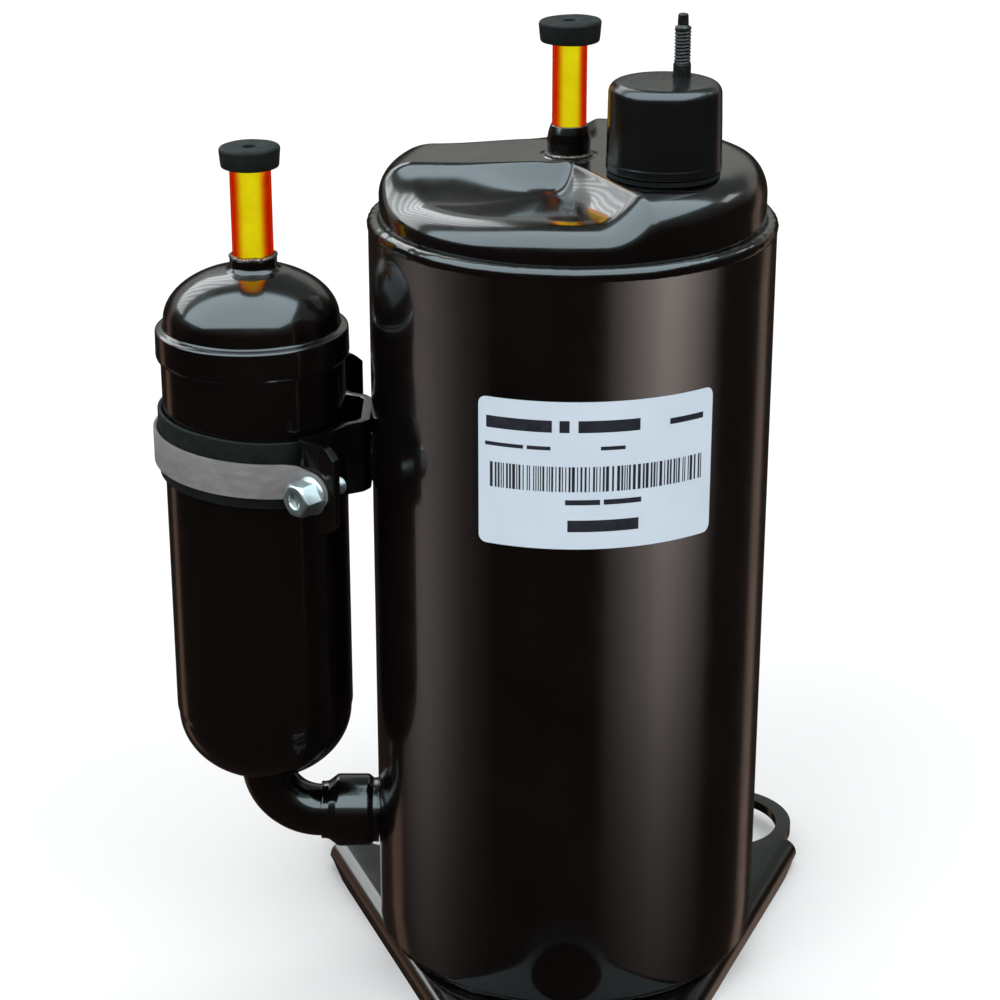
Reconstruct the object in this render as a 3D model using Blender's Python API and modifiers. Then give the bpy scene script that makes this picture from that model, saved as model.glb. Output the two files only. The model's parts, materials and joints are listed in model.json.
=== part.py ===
"""Hermetic rotary refrigeration compressor with its suction accumulator.

Run it with blender --background --python part.py, or from Blender's text editor.
The named sizes are in millimetres, and a mesh is made in metres from them.  The origin is on
the shell's axis, in the plane that the compressor stands on.  +Z is up, and the accumulator
lies towards -X.
"""
import math

import bmesh
import bpy
from mathutils import Matrix, Vector

MM = 0.001
GAP = 0.3  # clearance between separate solids
FULL_TURN = 2.0 * math.pi
FINE, MEDIUM, COARSE = 48, 32, 20  # sides of the turned pieces, by size

# --- shell, caps and feet -------------------------------------------------------------------
SHELL_R = 57.0
SHELL_WALL = 2.8
SHELL_BOTTOM = 10.0
SHELL_TOP = 227.7
SHELL_BORE = SHELL_R - SHELL_WALL
CAP_R = SHELL_BORE - GAP
CAP_WALL = 3.0
CAP_SHOULDER = 10.0
PLATEAU_Z = SHELL_TOP + 19.0
STEP_DROP = 6.8
STEP_WIDTH = 9.0  # the length of the recess's rear slope beside the tube
STEP_WIDEN = 11.0  # how much longer it is at the far left
STEP_SIDE_WIDTH = 7.0  # the length of its slanting slope beside the tube
STEP_SIDE_WIDEN = 5.5  # how much longer it is at the front
STEP_EDGE_Y = -3.0  # the step's edge at the far left
STEP_EDGE_SKEW = 5.0  # how much nearer the front it is beside the tube
STEP_CORNER = Vector((-2.0, -6.0))  # a point of its slanting edge beside the terminal
STEP_SIDE = Vector((-0.894, -0.447))  # the downhill direction there
STEP_BLEND = 0.3
LEFT_FALL = 1.4  # how far the crown falls away towards its left side
RIGHT_RISE = 0.9  # how far it rises towards its right side
REAR_DROP = 6.0  # how far it falls away behind the raised band, to the left of the tube
REAR_EDGE_Y = 18.0
REAR_SIDE_X = 8.0
REAR_WIDTH = 18.0
PLATE_TOP = 7.7
PLATE_T = 3.0
FOOT_R = 22.0
FOOT_HOLE_R = 17.3
FOOT_PLACES = ((79.0, 47.0), (77.0, 133.0), (77.0, 269.0))  # (radius, angle) of each eye
FLANGE_BEND = 4.5

LABEL_T = 0.24
LABEL_ANGLES = (-117.0, -49.8)
LABEL_BOTTOM = 152.4
LABEL_TOP = 194.3

# --- discharge fittings and terminal --------------------------------------------------------
DISCHARGE_AT = (-1.15, 0.0)
DISCHARGE_R = 4.76
DISCHARGE_WALL = 0.8
DISCHARGE_TOP = 278.3
COLLAR_TOP = 255.5
PLUG_R = 8.7
PLUG_T = 5.8
PLUG_STEM = 9.0
COVER_AT = (23.7, -22.0)
COVER_R = 15.6
COVER_TOP = 272.2
COVER_WALL = 2.0
STUD_AT = (28.4, -15.5)
STUD_TOP = 289.4
TERMINAL_AT = (20.8, -25.0)
TERMINAL_R = 8.9
PIN_CIRCLE = 4.6

# --- accumulator ----------------------------------------------------------------------------
ACC_X = -90.5
ACC_R = 26.2
ACC_WALL = 2.0
ACC_BOTTOM = 56.0
ACC_SHOULDER_Z = 77.0
ACC_BODY_TOP = 195.0
ACC_CAP_R = 27.5
ACC_CAP_BOTTOM = 188.6
ACC_DOME_Z = 199.8  # the level of the dome's widest ring
ACC_DOME_R = 25.0
ACC_DOME_RISE = 15.3
NECK_BOTTOM = 214.4
NECK_TOP = 217.8
SUCTION_X = ACC_X + 1.1
SUCTION_R = 5.8
SUCTION_WALL = 0.9
SUCTION_TOP = 243.4
NECK_R = 6.8
OUTLET_R = 8.3
OUTLET_WALL = 1.2
INLET_Z = 43.0
ELBOW_R = 16.0
NIPPLE_R = 11.0

# --- accumulator clamp ----------------------------------------------------------------------
PAD_T = 1.3
PAD_BOTTOM = 150.5
PAD_TOP = 170.5
BAND_T = 1.1
BRACKET_T = 2.5
CLAMP_BOTTOM = 151.5
CLAMP_TOP = 172.5
CLAMP_AXIS_Z = 158.2  # the bolt's level
BAND_Z = 159.4
BAND_TILT = 0.085  # how steeply the strap and its pad rise away from the bolt
BAND_HEIGHT = 10.2
EAR_ANGLE = -60.0
EAR_LENGTH = 14.5
EAR_DROP = 4.0  # how far the front ear reaches below the cradle
HOOK_RISE = 5.5  # how far the rear ear's hook stands above it
EAR_HEADING = -43.0
REAR_HEADING = 38.0
EAR_DIRECTION = Vector((math.cos(math.radians(EAR_HEADING)), math.sin(math.radians(EAR_HEADING))))

# --- motor and pump -------------------------------------------------------------------------
STACK_BOTTOM = 118.0
STACK_TOP = 176.0
STATOR_BORE = 29.8
ROTOR_R = 29.1
SLOTS = 24
WINDING_IN = 33.0
WINDING_OUT = 46.0
WINDING_OVERHANG = 23.0
SHAFT_R = 8.0
SHAFT_BOTTOM = 10.0
SHAFT_TOP = 180.0
CYLINDER_BOTTOM = 32.0
CYLINDER_TOP = 54.0
CYLINDER_BORE = 24.0
ECCENTRICITY = 5.2
ROLLER_R = CYLINDER_BORE - ECCENTRICITY - GAP
ECCENTRIC_R = 13.6
VANE_ANGLE = 150.0
VANE_T = 3.2
VANE_LENGTH = 20.0
BEARING_R = 36.0
BOLT_CIRCLE = 31.5
BOLT_ANGLES = (30.0, 120.0, 210.0, 300.0)
PORT_ANGLE = 125.0
PORT_CIRCLE = 21.5
REED_ROOT_ANGLE = 60.0


# --- scene helpers --------------------------------------------------------------------------
def clear_scene():
    for obj in list(bpy.data.objects):
        bpy.data.objects.remove(obj, do_unlink=True)


def new_collection(name):
    group = bpy.data.collections.new(name)
    bpy.context.scene.collection.children.link(group)
    return group


def new_material(name, colour, metallic, roughness):
    mat = bpy.data.materials.new(name)
    mat.use_nodes = True
    shader = mat.node_tree.nodes["Principled BSDF"]
    shader.inputs["Base Color"].default_value = (*colour, 1.0)
    shader.inputs["Metallic"].default_value = metallic
    shader.inputs["Roughness"].default_value = roughness
    mat.diffuse_color = (*colour, 1.0)
    return mat


clear_scene()
PARTS = new_collection("rotary_compressor")
CUTTERS = new_collection("cutters")


def smooth(mesh, angle=35.0):
    mesh.shade_smooth()
    mesh.set_sharp_from_angle(angle=math.radians(angle))


def weld(mesh):
    """Merge the coincident vertices and turn all faces outwards."""
    bm = bmesh.new()
    bm.from_mesh(mesh)
    bmesh.ops.remove_doubles(bm, verts=bm.verts, dist=0.002 * MM)
    bmesh.ops.dissolve_degenerate(bm, edges=bm.edges, dist=0.002 * MM)
    bmesh.ops.recalc_face_normals(bm, faces=bm.faces)
    bm.to_mesh(mesh)
    bm.free()


def bake(obj, mat=None):
    """Turn an object and its modifiers, or a curve, into a plain mesh object."""
    graph = bpy.context.evaluated_depsgraph_get()
    mesh = bpy.data.meshes.new_from_object(obj.evaluated_get(graph))
    weld(mesh)
    smooth(mesh)
    name = obj.name
    baked = bpy.data.objects.new(name, mesh)
    baked.matrix_world = obj.matrix_world.copy()
    group = obj.users_collection[0]
    bpy.data.objects.remove(obj, do_unlink=True)
    baked.name = name
    group.objects.link(baked)
    if mat is not None:
        mesh.materials.clear()
        mesh.materials.append(mat)
    return baked


def place(obj, at, along=None):
    """Move an object made round +Z to a point, with its +Z along a direction."""
    rotation = Matrix.Identity(4)
    if along is not None:
        rotation = Vector(along).to_track_quat("Z", "Y").to_matrix().to_4x4()
    obj.matrix_world = Matrix.Translation(Vector(at) * MM) @ rotation
    return obj


# --- shape helpers --------------------------------------------------------------------------
def arc(centre, radius, start, end, steps):
    """Points on an arc, in degrees, both ends included."""
    points = []
    for i in range(steps + 1):
        a = math.radians(start + (end - start) * i / steps)
        points.append((centre[0] + radius * math.cos(a), centre[1] + radius * math.sin(a)))
    return points


def polar(radius, angle):
    a = math.radians(angle)
    return (radius * math.cos(a), radius * math.sin(a))


def turned(name, profile, mat, steps=MEDIUM, closed=False, at=(0, 0, 0), along=None, group=None):
    """Spin a profile of (radius, height) about +Z; it runs down its outer side."""
    mesh = bpy.data.meshes.new(name)
    verts = [(r * MM, 0.0, z * MM) for r, z in profile]
    edges = [(i, i + 1) for i in range(len(verts) - 1)]
    if closed:
        edges.append((len(verts) - 1, 0))
    mesh.from_pydata(verts, edges, [])
    obj = bpy.data.objects.new(name, mesh)
    (group or PARTS).objects.link(obj)
    screw = obj.modifiers.new("Turn", "SCREW")
    screw.angle = FULL_TURN
    screw.steps = steps
    screw.render_steps = steps
    screw.use_merge_vertices = True
    screw.merge_threshold = 0.01 * MM
    bpy.context.view_layer.update()
    return place(bake(obj, mat), at, along)


def rod(name, radius, z0, z1, mat, steps=COARSE, at=(0, 0, 0), along=None, group=None):
    profile = [(0, z1), (radius, z1), (radius, z0), (0, z0)]
    return turned(name, profile, mat, steps, at=at, along=along, group=group)


def ring(name, inner, outer, z0, z1, mat, steps=MEDIUM, at=(0, 0, 0), along=None, group=None):
    profile = [(outer, z1), (outer, z0), (inner, z0), (inner, z1)]
    return turned(name, profile, mat, steps, True, at, along, group)


def plate(name, loops, z0, z1, mat, group=None):
    """Extrude flat outlines, the first the outside and the others holes, from z0 to z1."""
    curve = bpy.data.curves.new(name, "CURVE")
    curve.dimensions = "2D"
    curve.fill_mode = "BOTH"
    curve.extrude = 0.5 * (z1 - z0) * MM
    for loop in loops:
        spline = curve.splines.new("POLY")
        spline.points.add(len(loop) - 1)
        for point, (x, y) in zip(spline.points, loop):
            point.co = (x * MM, y * MM, 0.0, 1.0)
        spline.use_cyclic_u = True
    obj = bpy.data.objects.new(name, curve)
    (group or PARTS).objects.link(obj)
    obj.location = (0.0, 0.0, 0.5 * (z0 + z1) * MM)
    bpy.context.view_layer.update()
    baked = bake(obj, mat)
    baked.data.transform(baked.matrix_world)
    baked.matrix_world = Matrix.Identity(4)
    return baked


def swept(name, points, radius, mat, sides=12, group=None):
    """A round bar along a polyline, with filled ends."""
    curve = bpy.data.curves.new(name, "CURVE")
    curve.dimensions = "3D"
    curve.bevel_depth = radius * MM
    curve.bevel_resolution = sides // 4 - 1 if sides >= 8 else 0
    curve.use_fill_caps = True
    spline = curve.splines.new("POLY")
    spline.points.add(len(points) - 1)
    for point, co in zip(spline.points, points):
        point.co = (co[0] * MM, co[1] * MM, co[2] * MM, 1.0)
    obj = bpy.data.objects.new(name, curve)
    (group or PARTS).objects.link(obj)
    bpy.context.view_layer.update()
    return bake(obj, mat)


def strip_loop(path, thickness):
    """The outline of a strip of sheet whose centreline is the path."""
    left, right = [], []
    for i, here in enumerate(path):
        before = Vector(path[max(i - 1, 0)])
        after = Vector(path[min(i + 1, len(path) - 1)])
        into = (Vector(here) - before).normalized() if i > 0 else None
        away = (after - Vector(here)).normalized() if i < len(path) - 1 else None
        into = into or away
        away = away or into
        normal = Vector((-(into + away).y, (into + away).x)).normalized()
        reach = 0.5 * thickness / max(normal.dot(Vector((-into.y, into.x))), 0.5)
        left.append(tuple(Vector(here) + normal * reach))
        right.append(tuple(Vector(here) - normal * reach))
    return left + right[::-1]


def boolean(obj, other, operation="DIFFERENCE"):
    modifier = obj.modifiers.new(other.name, "BOOLEAN")
    modifier.operation = operation
    modifier.object = other
    modifier.solver = "EXACT"
    other.hide_render = True
    other.display_type = "WIRE"
    return obj


def hole(obj, radius, z0, z1, at=(0, 0, 0), along=None, steps=COARSE):
    """Cut a round hole from z0 to z1 along a direction from a point."""
    name = f"{obj.name}_hole_{len(obj.modifiers)}"
    return boolean(obj, rod(name, radius, z0, z1, None, steps, at, along, CUTTERS))


def slot(obj, loops, z0, z1):
    """Cut an upright slot of any outline."""
    name = f"{obj.name}_slot_{len(obj.modifiers)}"
    return boolean(obj, plate(name, loops, z0, z1, None, CUTTERS))


def circle(centre, radius, steps):
    return arc(centre, radius, 0.0, 360.0 * (steps - 1) / steps, steps - 1)


def box_loop(centre, angle, length, width):
    """A rectangle whose length lies along an angle, in degrees."""
    along = Vector(polar(1.0, angle))
    across = Vector((-along.y, along.x))
    middle = Vector(centre)
    corners = ((1, 1), (-1, 1), (-1, -1), (1, -1))
    return [tuple(middle + along * (0.5 * length * a) + across * (0.5 * width * b)) for a, b in corners]


# --- materials ------------------------------------------------------------------------------
BLACK_PAINT = new_material("black_paint", (0.012, 0.011, 0.011), 0.0, 0.16)
COPPER = new_material("copper", (0.72, 0.25, 0.09), 1.0, 0.22)
PLUG_RUBBER = new_material("plug_rubber", (0.035, 0.038, 0.036), 0.0, 0.7)
COVER_PLASTIC = new_material("cover_plastic", (0.015, 0.016, 0.017), 0.0, 0.35)
ZINC = new_material("zinc", (0.55, 0.55, 0.54), 1.0, 0.35)
BAND_STEEL = new_material("band_steel", (0.30, 0.29, 0.29), 1.0, 0.5)
PAPER = new_material("label_paper", (0.82, 0.85, 0.89), 0.0, 0.5)
STEEL = new_material("machined_steel", (0.45, 0.45, 0.46), 1.0, 0.3)
IRON = new_material("cast_iron", (0.16, 0.16, 0.17), 0.8, 0.5)
WIRE = new_material("enamelled_copper", (0.45, 0.16, 0.06), 0.7, 0.4)
ALUMINIUM = new_material("cast_aluminium", (0.6, 0.6, 0.62), 1.0, 0.4)
GLASS_SEAL = new_material("terminal_steel", (0.3, 0.3, 0.32), 0.8, 0.4)
NYLON = new_material("connector_nylon", (0.75, 0.72, 0.62), 0.0, 0.5)


# --- shell and caps -------------------------------------------------------------------------
def step_depth(x, y):
    """How far the crown of the top cap lies below its plateau at a point."""
    edge_y = STEP_EDGE_Y - STEP_EDGE_SKEW * ease((x + 45.0) / 40.0)
    back = (edge_y - y) / (STEP_WIDTH + STEP_WIDEN * ease((-x - 4.0) / 30.0))
    side = STEP_SIDE.dot(Vector((x, y)) - STEP_CORNER)
    side /= STEP_SIDE_WIDTH + STEP_SIDE_WIDEN * ease((-y - 10.0) / 25.0)
    overlap = max(STEP_BLEND - abs(back - side), 0.0) / STEP_BLEND
    recess = steep(min(back, side) - overlap * overlap * STEP_BLEND / 4.0)
    rear = ease((y - REAR_EDGE_Y) / REAR_WIDTH) * steep((REAR_SIDE_X - x) / REAR_WIDTH)
    slope = LEFT_FALL * ease((-x - 8.0) / 30.0) - RIGHT_RISE * ease((x - 42.0) / 10.0)
    return STEP_DROP * recess + REAR_DROP * rear + slope


def steep(t):
    """A rise from 0 to 1 that starts at once and ends level."""
    t = min(max(t, 0.0), 1.0)
    return t * (2.0 - t)


def ease(t):
    """A smooth rise from 0 to 1."""
    t = min(max(t, 0.0), 1.0)
    return t * t * (3.0 - 2.0 * t)


def make_top_cap():
    crown = CAP_R - CAP_SHOULDER
    inner_shoulder = CAP_SHOULDER - CAP_WALL
    z_side = PLATEAU_Z - CAP_SHOULDER
    rings = [0.0, 8.0, 15.0, 22.0, 29.0, 36.5]
    outer = [(r, PLATEAU_Z) for r in rings]
    outer += arc((crown, z_side), CAP_SHOULDER, 90.0, 0.0, 4)
    outer.append((CAP_R, SHELL_TOP - 14.0))
    inner = [(CAP_R - CAP_WALL, SHELL_TOP - 14.0)]
    inner += arc((crown, z_side), inner_shoulder, 0.0, 90.0, 3)
    inner += [(r, PLATEAU_Z - CAP_WALL) for r in reversed(rings)]
    cap = turned("top_cap", outer + inner, BLACK_PAINT, MEDIUM)
    low = (SHELL_TOP - 2.0) * MM
    for vertex in cap.data.vertices:
        height = min(max((vertex.co.z - low) / (PLATEAU_Z * MM - low), 0.0), 1.0)
        vertex.co.z -= step_depth(vertex.co.x / MM, vertex.co.y / MM) * height * MM
    hole(cap, DISCHARGE_R + GAP, PLATEAU_Z - 15.0, PLATEAU_Z + 10.0, (*DISCHARGE_AT, 0.0))
    hole(cap, TERMINAL_R + GAP, PLATEAU_Z - 15.0, PLATEAU_Z + 10.0, (*TERMINAL_AT, 0.0), None, 32)
    return cap


def make_shell():
    edge = 0.6
    outer = [(SHELL_R - edge, SHELL_TOP), (SHELL_R, SHELL_TOP - edge)]
    outer += [(SHELL_R, SHELL_BOTTOM + edge), (SHELL_R - edge, SHELL_BOTTOM)]
    inner = [(SHELL_BORE, SHELL_BOTTOM), (SHELL_BORE, SHELL_TOP)]
    shell = turned("main_shell", outer + inner, BLACK_PAINT, FINE, True)
    hole(shell, OUTLET_R + 0.45, 40.0, 70.0, (0, 0, INLET_Z), (-1, 0, 0))
    return shell


def make_weld_rings():
    z = SHELL_TOP + GAP
    bead = [(CAP_R + GAP, z + 3.6), (55.5, z + 3.1), (56.7, z + 2.0), (57.4, z + 0.9), (57.2, z)]
    turned("top_weld_ring", bead + [(CAP_R + GAP, z)], BLACK_PAINT, FINE, True)
    z = SHELL_BOTTOM - GAP
    bead = [(56.7, z), (56.3, z - 1.1), (54.9, z - 1.6), (53.2, z - 1.5), (54.4, z)]
    turned("bottom_weld_ring", bead, BLACK_PAINT, FINE, True)


def make_bottom_cap():
    fold = 6.0
    flat_z = PLATE_TOP + GAP
    rim = CYLINDER_BOTTOM - 2.5
    dish_r = 34.0
    inner = [(0, CAP_WALL), (dish_r - 1.5, CAP_WALL), (dish_r + 1.0, CAP_WALL + 1.5)]
    inner += [(37.0, flat_z + CAP_WALL - 0.8), (38.5, flat_z + CAP_WALL)]
    inner += arc((CAP_R - fold, flat_z + fold), fold - CAP_WALL, -90.0, 0.0, 2)
    inner.append((CAP_R - CAP_WALL, rim))
    outer = [(CAP_R, rim)]
    outer += arc((CAP_R - fold, flat_z + fold), fold, 0.0, -90.0, 3)
    outer += [(40.0, flat_z), (38.5, flat_z - 0.8), (dish_r + 1.8, 1.6), (dish_r, 0), (0, 0)]
    turned("bottom_cap", inner + outer, BLACK_PAINT, MEDIUM)


def foot_centres():
    return [Vector(polar(radius, angle)) for radius, angle in FOOT_PLACES]


def make_base_plate():
    """A pressed triangular plate with an eye at each corner and its straight sides turned down."""
    centres = foot_centres()
    outline = []
    for i, centre in enumerate(centres):
        before = centre - centres[i - 1]
        after = centres[(i + 1) % 3] - centre
        start = math.degrees(math.atan2(before.y, before.x)) - 90.0
        turn = (math.degrees(math.atan2(after.y, after.x)) - 90.0 - start) % 360.0
        outline += arc(centre, FOOT_R, start, start + turn, 9)
    holes = [circle(centre, FOOT_HOLE_R, COARSE) for centre in centres]
    holes.append(circle((0, 0), 40.4, MEDIUM))
    base = plate("base_plate", [outline] + holes, PLATE_TOP - PLATE_T, PLATE_TOP, BLACK_PAINT)
    for i, centre in enumerate(centres):
        run = centres[(i + 1) % 3] - centre
        flange = make_flange(f"flange_{i + 1}", centre, run)
        boolean(base, flange, "UNION")
    return base


def make_flange(name, start, run):
    """A turned-down edge along one side: a bend, a short wall and a tongue inside the plate."""
    length = run.length - 8.0
    bend = arc((0.0, -FLANGE_BEND), FLANGE_BEND, 90.0, 0.0, 4)
    section = [(-4.0, -1.0), (-0.6, -0.4)] + bend + [(FLANGE_BEND, -PLATE_TOP), (FLANGE_BEND - PLATE_T, -PLATE_TOP)]
    section += arc((0.0, -FLANGE_BEND), FLANGE_BEND - PLATE_T, 0.0, 90.0, 2)
    section += [(-0.6, 0.4 - PLATE_T), (-4.0, 1.0 - PLATE_T)]
    flange = plate(name, [section], -0.5 * length, 0.5 * length, BLACK_PAINT, CUTTERS)
    along = run.normalized()
    out = Vector((along.y, -along.x))
    middle = start + run * 0.5 + out * FOOT_R
    frame = Matrix((
        (out.x, 0.0, along.x * -1.0, middle.x * MM),
        (out.y, 0.0, along.y * -1.0, middle.y * MM),
        (0.0, 1.0, 0.0, PLATE_TOP * MM),
        (0.0, 0.0, 0.0, 1.0),
    ))
    flange.data.transform(frame)
    weld(flange.data)
    return flange


# --- discharge fittings and terminal --------------------------------------------------------
def make_discharge_fittings():
    base = PLATEAU_Z + GAP
    inner = DISCHARGE_R + GAP
    outer = [(inner + 0.3, COLLAR_TOP), (5.5, COLLAR_TOP - 1.0), (6.0, COLLAR_TOP - 4.0)]
    outer += [(5.8, base + 1.4), (6.6, base + 0.5), (6.7, base), (inner, base), (inner, COLLAR_TOP)]
    turned("discharge_collar", outer, BLACK_PAINT, COARSE, True, (*DISCHARGE_AT, 0.0))
    bottom = PLATEAU_Z - 10.0
    bore = DISCHARGE_R - DISCHARGE_WALL
    ring("discharge_tube", bore, DISCHARGE_R, bottom, DISCHARGE_TOP, COPPER, COARSE, (*DISCHARGE_AT, 0.0))


def make_plug(name, at, bore):
    """A rubber stopper: a thick head on the tube's rim, and a stem in its bore."""
    stem = bore - GAP - 0.1
    profile = [(0, PLUG_T - 3.0), (1.7, PLUG_T - 3.0), (1.7, PLUG_T), (PLUG_R - 0.5, PLUG_T)]
    profile += [(PLUG_R, PLUG_T - 0.5), (PLUG_R - 0.4, 0.4), (PLUG_R - 0.8, 0), (stem, 0)]
    profile += [(stem - 0.3, -PLUG_STEM), (0, -PLUG_STEM)]
    return turned(name, profile, PLUG_RUBBER, COARSE, at=at)


def make_terminal():
    cover_x, cover_y = COVER_AT
    seat = PLATEAU_Z + GAP
    at = (cover_x, cover_y, 0.0)
    ring("terminal_gasket", COVER_R - 1.9, COVER_R - 0.3, seat, seat + 1.2, PLUG_RUBBER, MEDIUM, at)
    bottom = seat + 1.2 + GAP
    top_r = COVER_R - 0.4
    outer = [(0, COVER_TOP)] + arc((top_r - 3.0, COVER_TOP - 3.0), 3.0, 90.0, 0.0, 4)
    outer += [(COVER_R, bottom), (COVER_R - COVER_WALL, bottom)]
    outer += [(top_r - COVER_WALL, COVER_TOP - 4.0), (top_r - COVER_WALL - 1.5, COVER_TOP - COVER_WALL)]
    cover = turned("terminal_cover", outer + [(0, COVER_TOP - COVER_WALL)], COVER_PLASTIC, MEDIUM, at=at)
    hole(cover, 2.25 + 2 * GAP, COVER_TOP - 12.0, COVER_TOP + 5.0, (*STUD_AT, 0.0))
    stud = [(0, STUD_TOP), (1.3, STUD_TOP), (1.65, STUD_TOP - 0.5), (1.65, STUD_TOP - 3.2)]
    stud += [(2.15, STUD_TOP - 4.0), (2.15, COVER_TOP + 3.8), (2.25, COVER_TOP + 3.4)]
    stud += [(2.25, seat), (0, seat)]
    turned("cover_stud", stud, STEEL, 16, at=(*STUD_AT, 0.0))
    flange = [(0, seat + 1.5), (TERMINAL_R - 2.6, seat + 1.5), (TERMINAL_R, seat - 0.2)]
    flange += [(TERMINAL_R, seat - 5.5), (TERMINAL_R - 1.4, seat - 5.5), (TERMINAL_R - 2.4, seat - 2.0)]
    body = turned("terminal_body", flange + [(0, seat - 2.0)], GLASS_SEAL, COARSE, at=(*TERMINAL_AT, 0.0))
    for i in range(3):
        dx, dy = polar(PIN_CIRCLE, 90.0 + 120.0 * i)
        pin_at = (TERMINAL_AT[0] + dx, TERMINAL_AT[1] + dy, 0.0)
        hole(body, 1.15 + GAP, seat - 8.0, seat + 4.0, pin_at, None, 12)
        rod(f"terminal_pin_{i + 1}", 1.15, seat - 12.0, seat + 9.0, STEEL, 12, pin_at)


# --- accumulator ----------------------------------------------------------------------------
def elbow_path(top, end_x, steps=7):
    """From a height on the accumulator's axis, round the bend and along -X to +X."""
    bend_z = INLET_Z + ELBOW_R
    path = [(ACC_X, 0.0, top), (ACC_X, 0.0, bend_z)]
    for i in range(1, steps + 1):
        a = 0.5 * math.pi * i / steps
        path.append((ACC_X + ELBOW_R * (1 - math.cos(a)), 0.0, bend_z - ELBOW_R * math.sin(a)))
    path.append((end_x, 0.0, INLET_Z))
    return path


def make_outlet_tube():
    tube = swept("accumulator_outlet_tube", elbow_path(176.0, -39.5), OUTLET_R, BLACK_PAINT, 16)
    bore_path = elbow_path(180.0, -36.0)
    boolean(tube, swept("outlet_bore", bore_path, OUTLET_R - OUTLET_WALL, None, 16, CUTTERS))
    hole(tube, 1.2, 0.0, 12.0, (ACC_X, 0.0, 88.0), (0, 1, 0), 8)
    return tube


def dome(a, b, z_mid, start, end, steps):
    """Points on an ellipse of radius a and half height b, by angle from the horizontal."""
    points = []
    for i in range(steps + 1):
        t = math.radians(start + (end - start) * i / steps)
        points.append((a * math.cos(t), z_mid + b * math.sin(t)))
    return points


def make_accumulator():
    at = (ACC_X, 0.0, 0.0)
    lip = OUTLET_R + GAP
    depth = ACC_SHOULDER_Z - ACC_BOTTOM
    outer = [(ACC_R, ACC_BODY_TOP), (ACC_R, ACC_SHOULDER_Z + 2.0), (ACC_R - 0.6, ACC_SHOULDER_Z)]
    low_a, low_b = ACC_R - 0.6, depth
    lip_angle = math.degrees(math.acos(lip / low_a))
    outer += dome(low_a, low_b, ACC_SHOULDER_Z, 0.0, -lip_angle, 6)[1:]
    in_a, in_b = low_a - ACC_WALL, low_b - ACC_WALL
    in_angle = math.degrees(math.acos(lip / in_a))
    inner = dome(in_a, in_b, ACC_SHOULDER_Z, -in_angle, 0.0, 5)
    inner += [(ACC_R - ACC_WALL, ACC_SHOULDER_Z + 2.0), (ACC_R - ACC_WALL, ACC_BODY_TOP)]
    turned("accumulator_body", outer + inner, BLACK_PAINT, 24, True, at)

    neck = SUCTION_R + GAP
    rim_z = 197.6
    skirt_in = ACC_R + GAP
    outer = [(NECK_R, NECK_TOP), (NECK_R, NECK_BOTTOM)]
    outer += dome(ACC_DOME_R, ACC_DOME_RISE, ACC_DOME_Z, 68.0, 8.0, 6)
    outer += [(ACC_DOME_R, rim_z + 1.0), (26.2, rim_z + 0.3), (ACC_CAP_R, rim_z - 1.4)]
    outer += [(ACC_CAP_R, ACC_CAP_BOTTOM + 1.2), (ACC_CAP_R - 1.0, ACC_CAP_BOTTOM)]
    body_top = ACC_BODY_TOP + GAP
    inner = [(skirt_in, ACC_CAP_BOTTOM), (skirt_in, body_top), (ACC_DOME_R - 2.0, body_top)]
    inner += dome(ACC_DOME_R - 2.0, ACC_DOME_RISE - 2.0, ACC_DOME_Z, 6.0, 66.0, 4)
    inner += [(neck, NECK_BOTTOM - 2.6), (neck, NECK_TOP)]
    cap = turned("accumulator_cap", outer + inner, BLACK_PAINT, 24, True, at)
    for vertex in cap.data.vertices:
        reach = math.hypot(vertex.co.x, vertex.co.y) / MM
        near = min(max((14.0 - reach) / 5.0, 0.0), 1.0)
        vertex.co.x += (SUCTION_X - ACC_X) * near * MM

    z = NECK_TOP + GAP
    pipe_at = (SUCTION_X, 0.0, 0.0)
    braze = [(neck, z + 1.5), (neck + 0.5, z + 1.4), (NECK_R - 0.1, z + 0.5), (NECK_R - 0.1, z), (neck, z)]
    turned("suction_braze_ring", braze, COPPER, COARSE, True, pipe_at)
    ring("suction_tube", SUCTION_R - SUCTION_WALL, SUCTION_R, 208.0, SUCTION_TOP, COPPER, COARSE, pipe_at)
    screen = [(0, 204.0), (12.0, 204.0), (20.6, 199.2), (20.6, 198.6), (12.0, 203.2), (0, 203.2)]
    turned("accumulator_screen", screen, STEEL, COARSE, at=at)
    baffle = [(ACC_R - ACC_WALL - GAP, 165.0), (ACC_R - ACC_WALL - GAP, 158.0), (22.4, 158.0)]
    baffle += [(22.4, 163.8), (OUTLET_R + GAP, 163.8), (OUTLET_R + GAP, 165.0)]
    holder = turned("accumulator_baffle", baffle, STEEL, COARSE, True, at)
    for i in range(4):
        dx, dy = polar(15.5, 45.0 + 90.0 * i)
        hole(holder, 4.0, 155.0, 170.0, (ACC_X + dx, dy, 0.0), None, 8)


def make_nipple():
    """The sleeve on the shell's side that the accumulator's tube is brazed into."""
    inner = OUTLET_R + GAP
    reach = 16.5
    outer = [(inner + 0.2, reach), (inner + 0.6, reach - 1.4), (NIPPLE_R - 0.6, reach - 3.4)]
    outer += [(NIPPLE_R, reach - 4.6), (NIPPLE_R, 2.2), (NIPPLE_R - 1.6, 0.0)]
    profile = outer + [(inner, 0.0), (inner, reach)]
    turned("inlet_nipple", profile, BLACK_PAINT, COARSE, True, (-SHELL_R - 0.4, 0, INLET_Z), (-1, 0, 0))


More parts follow.
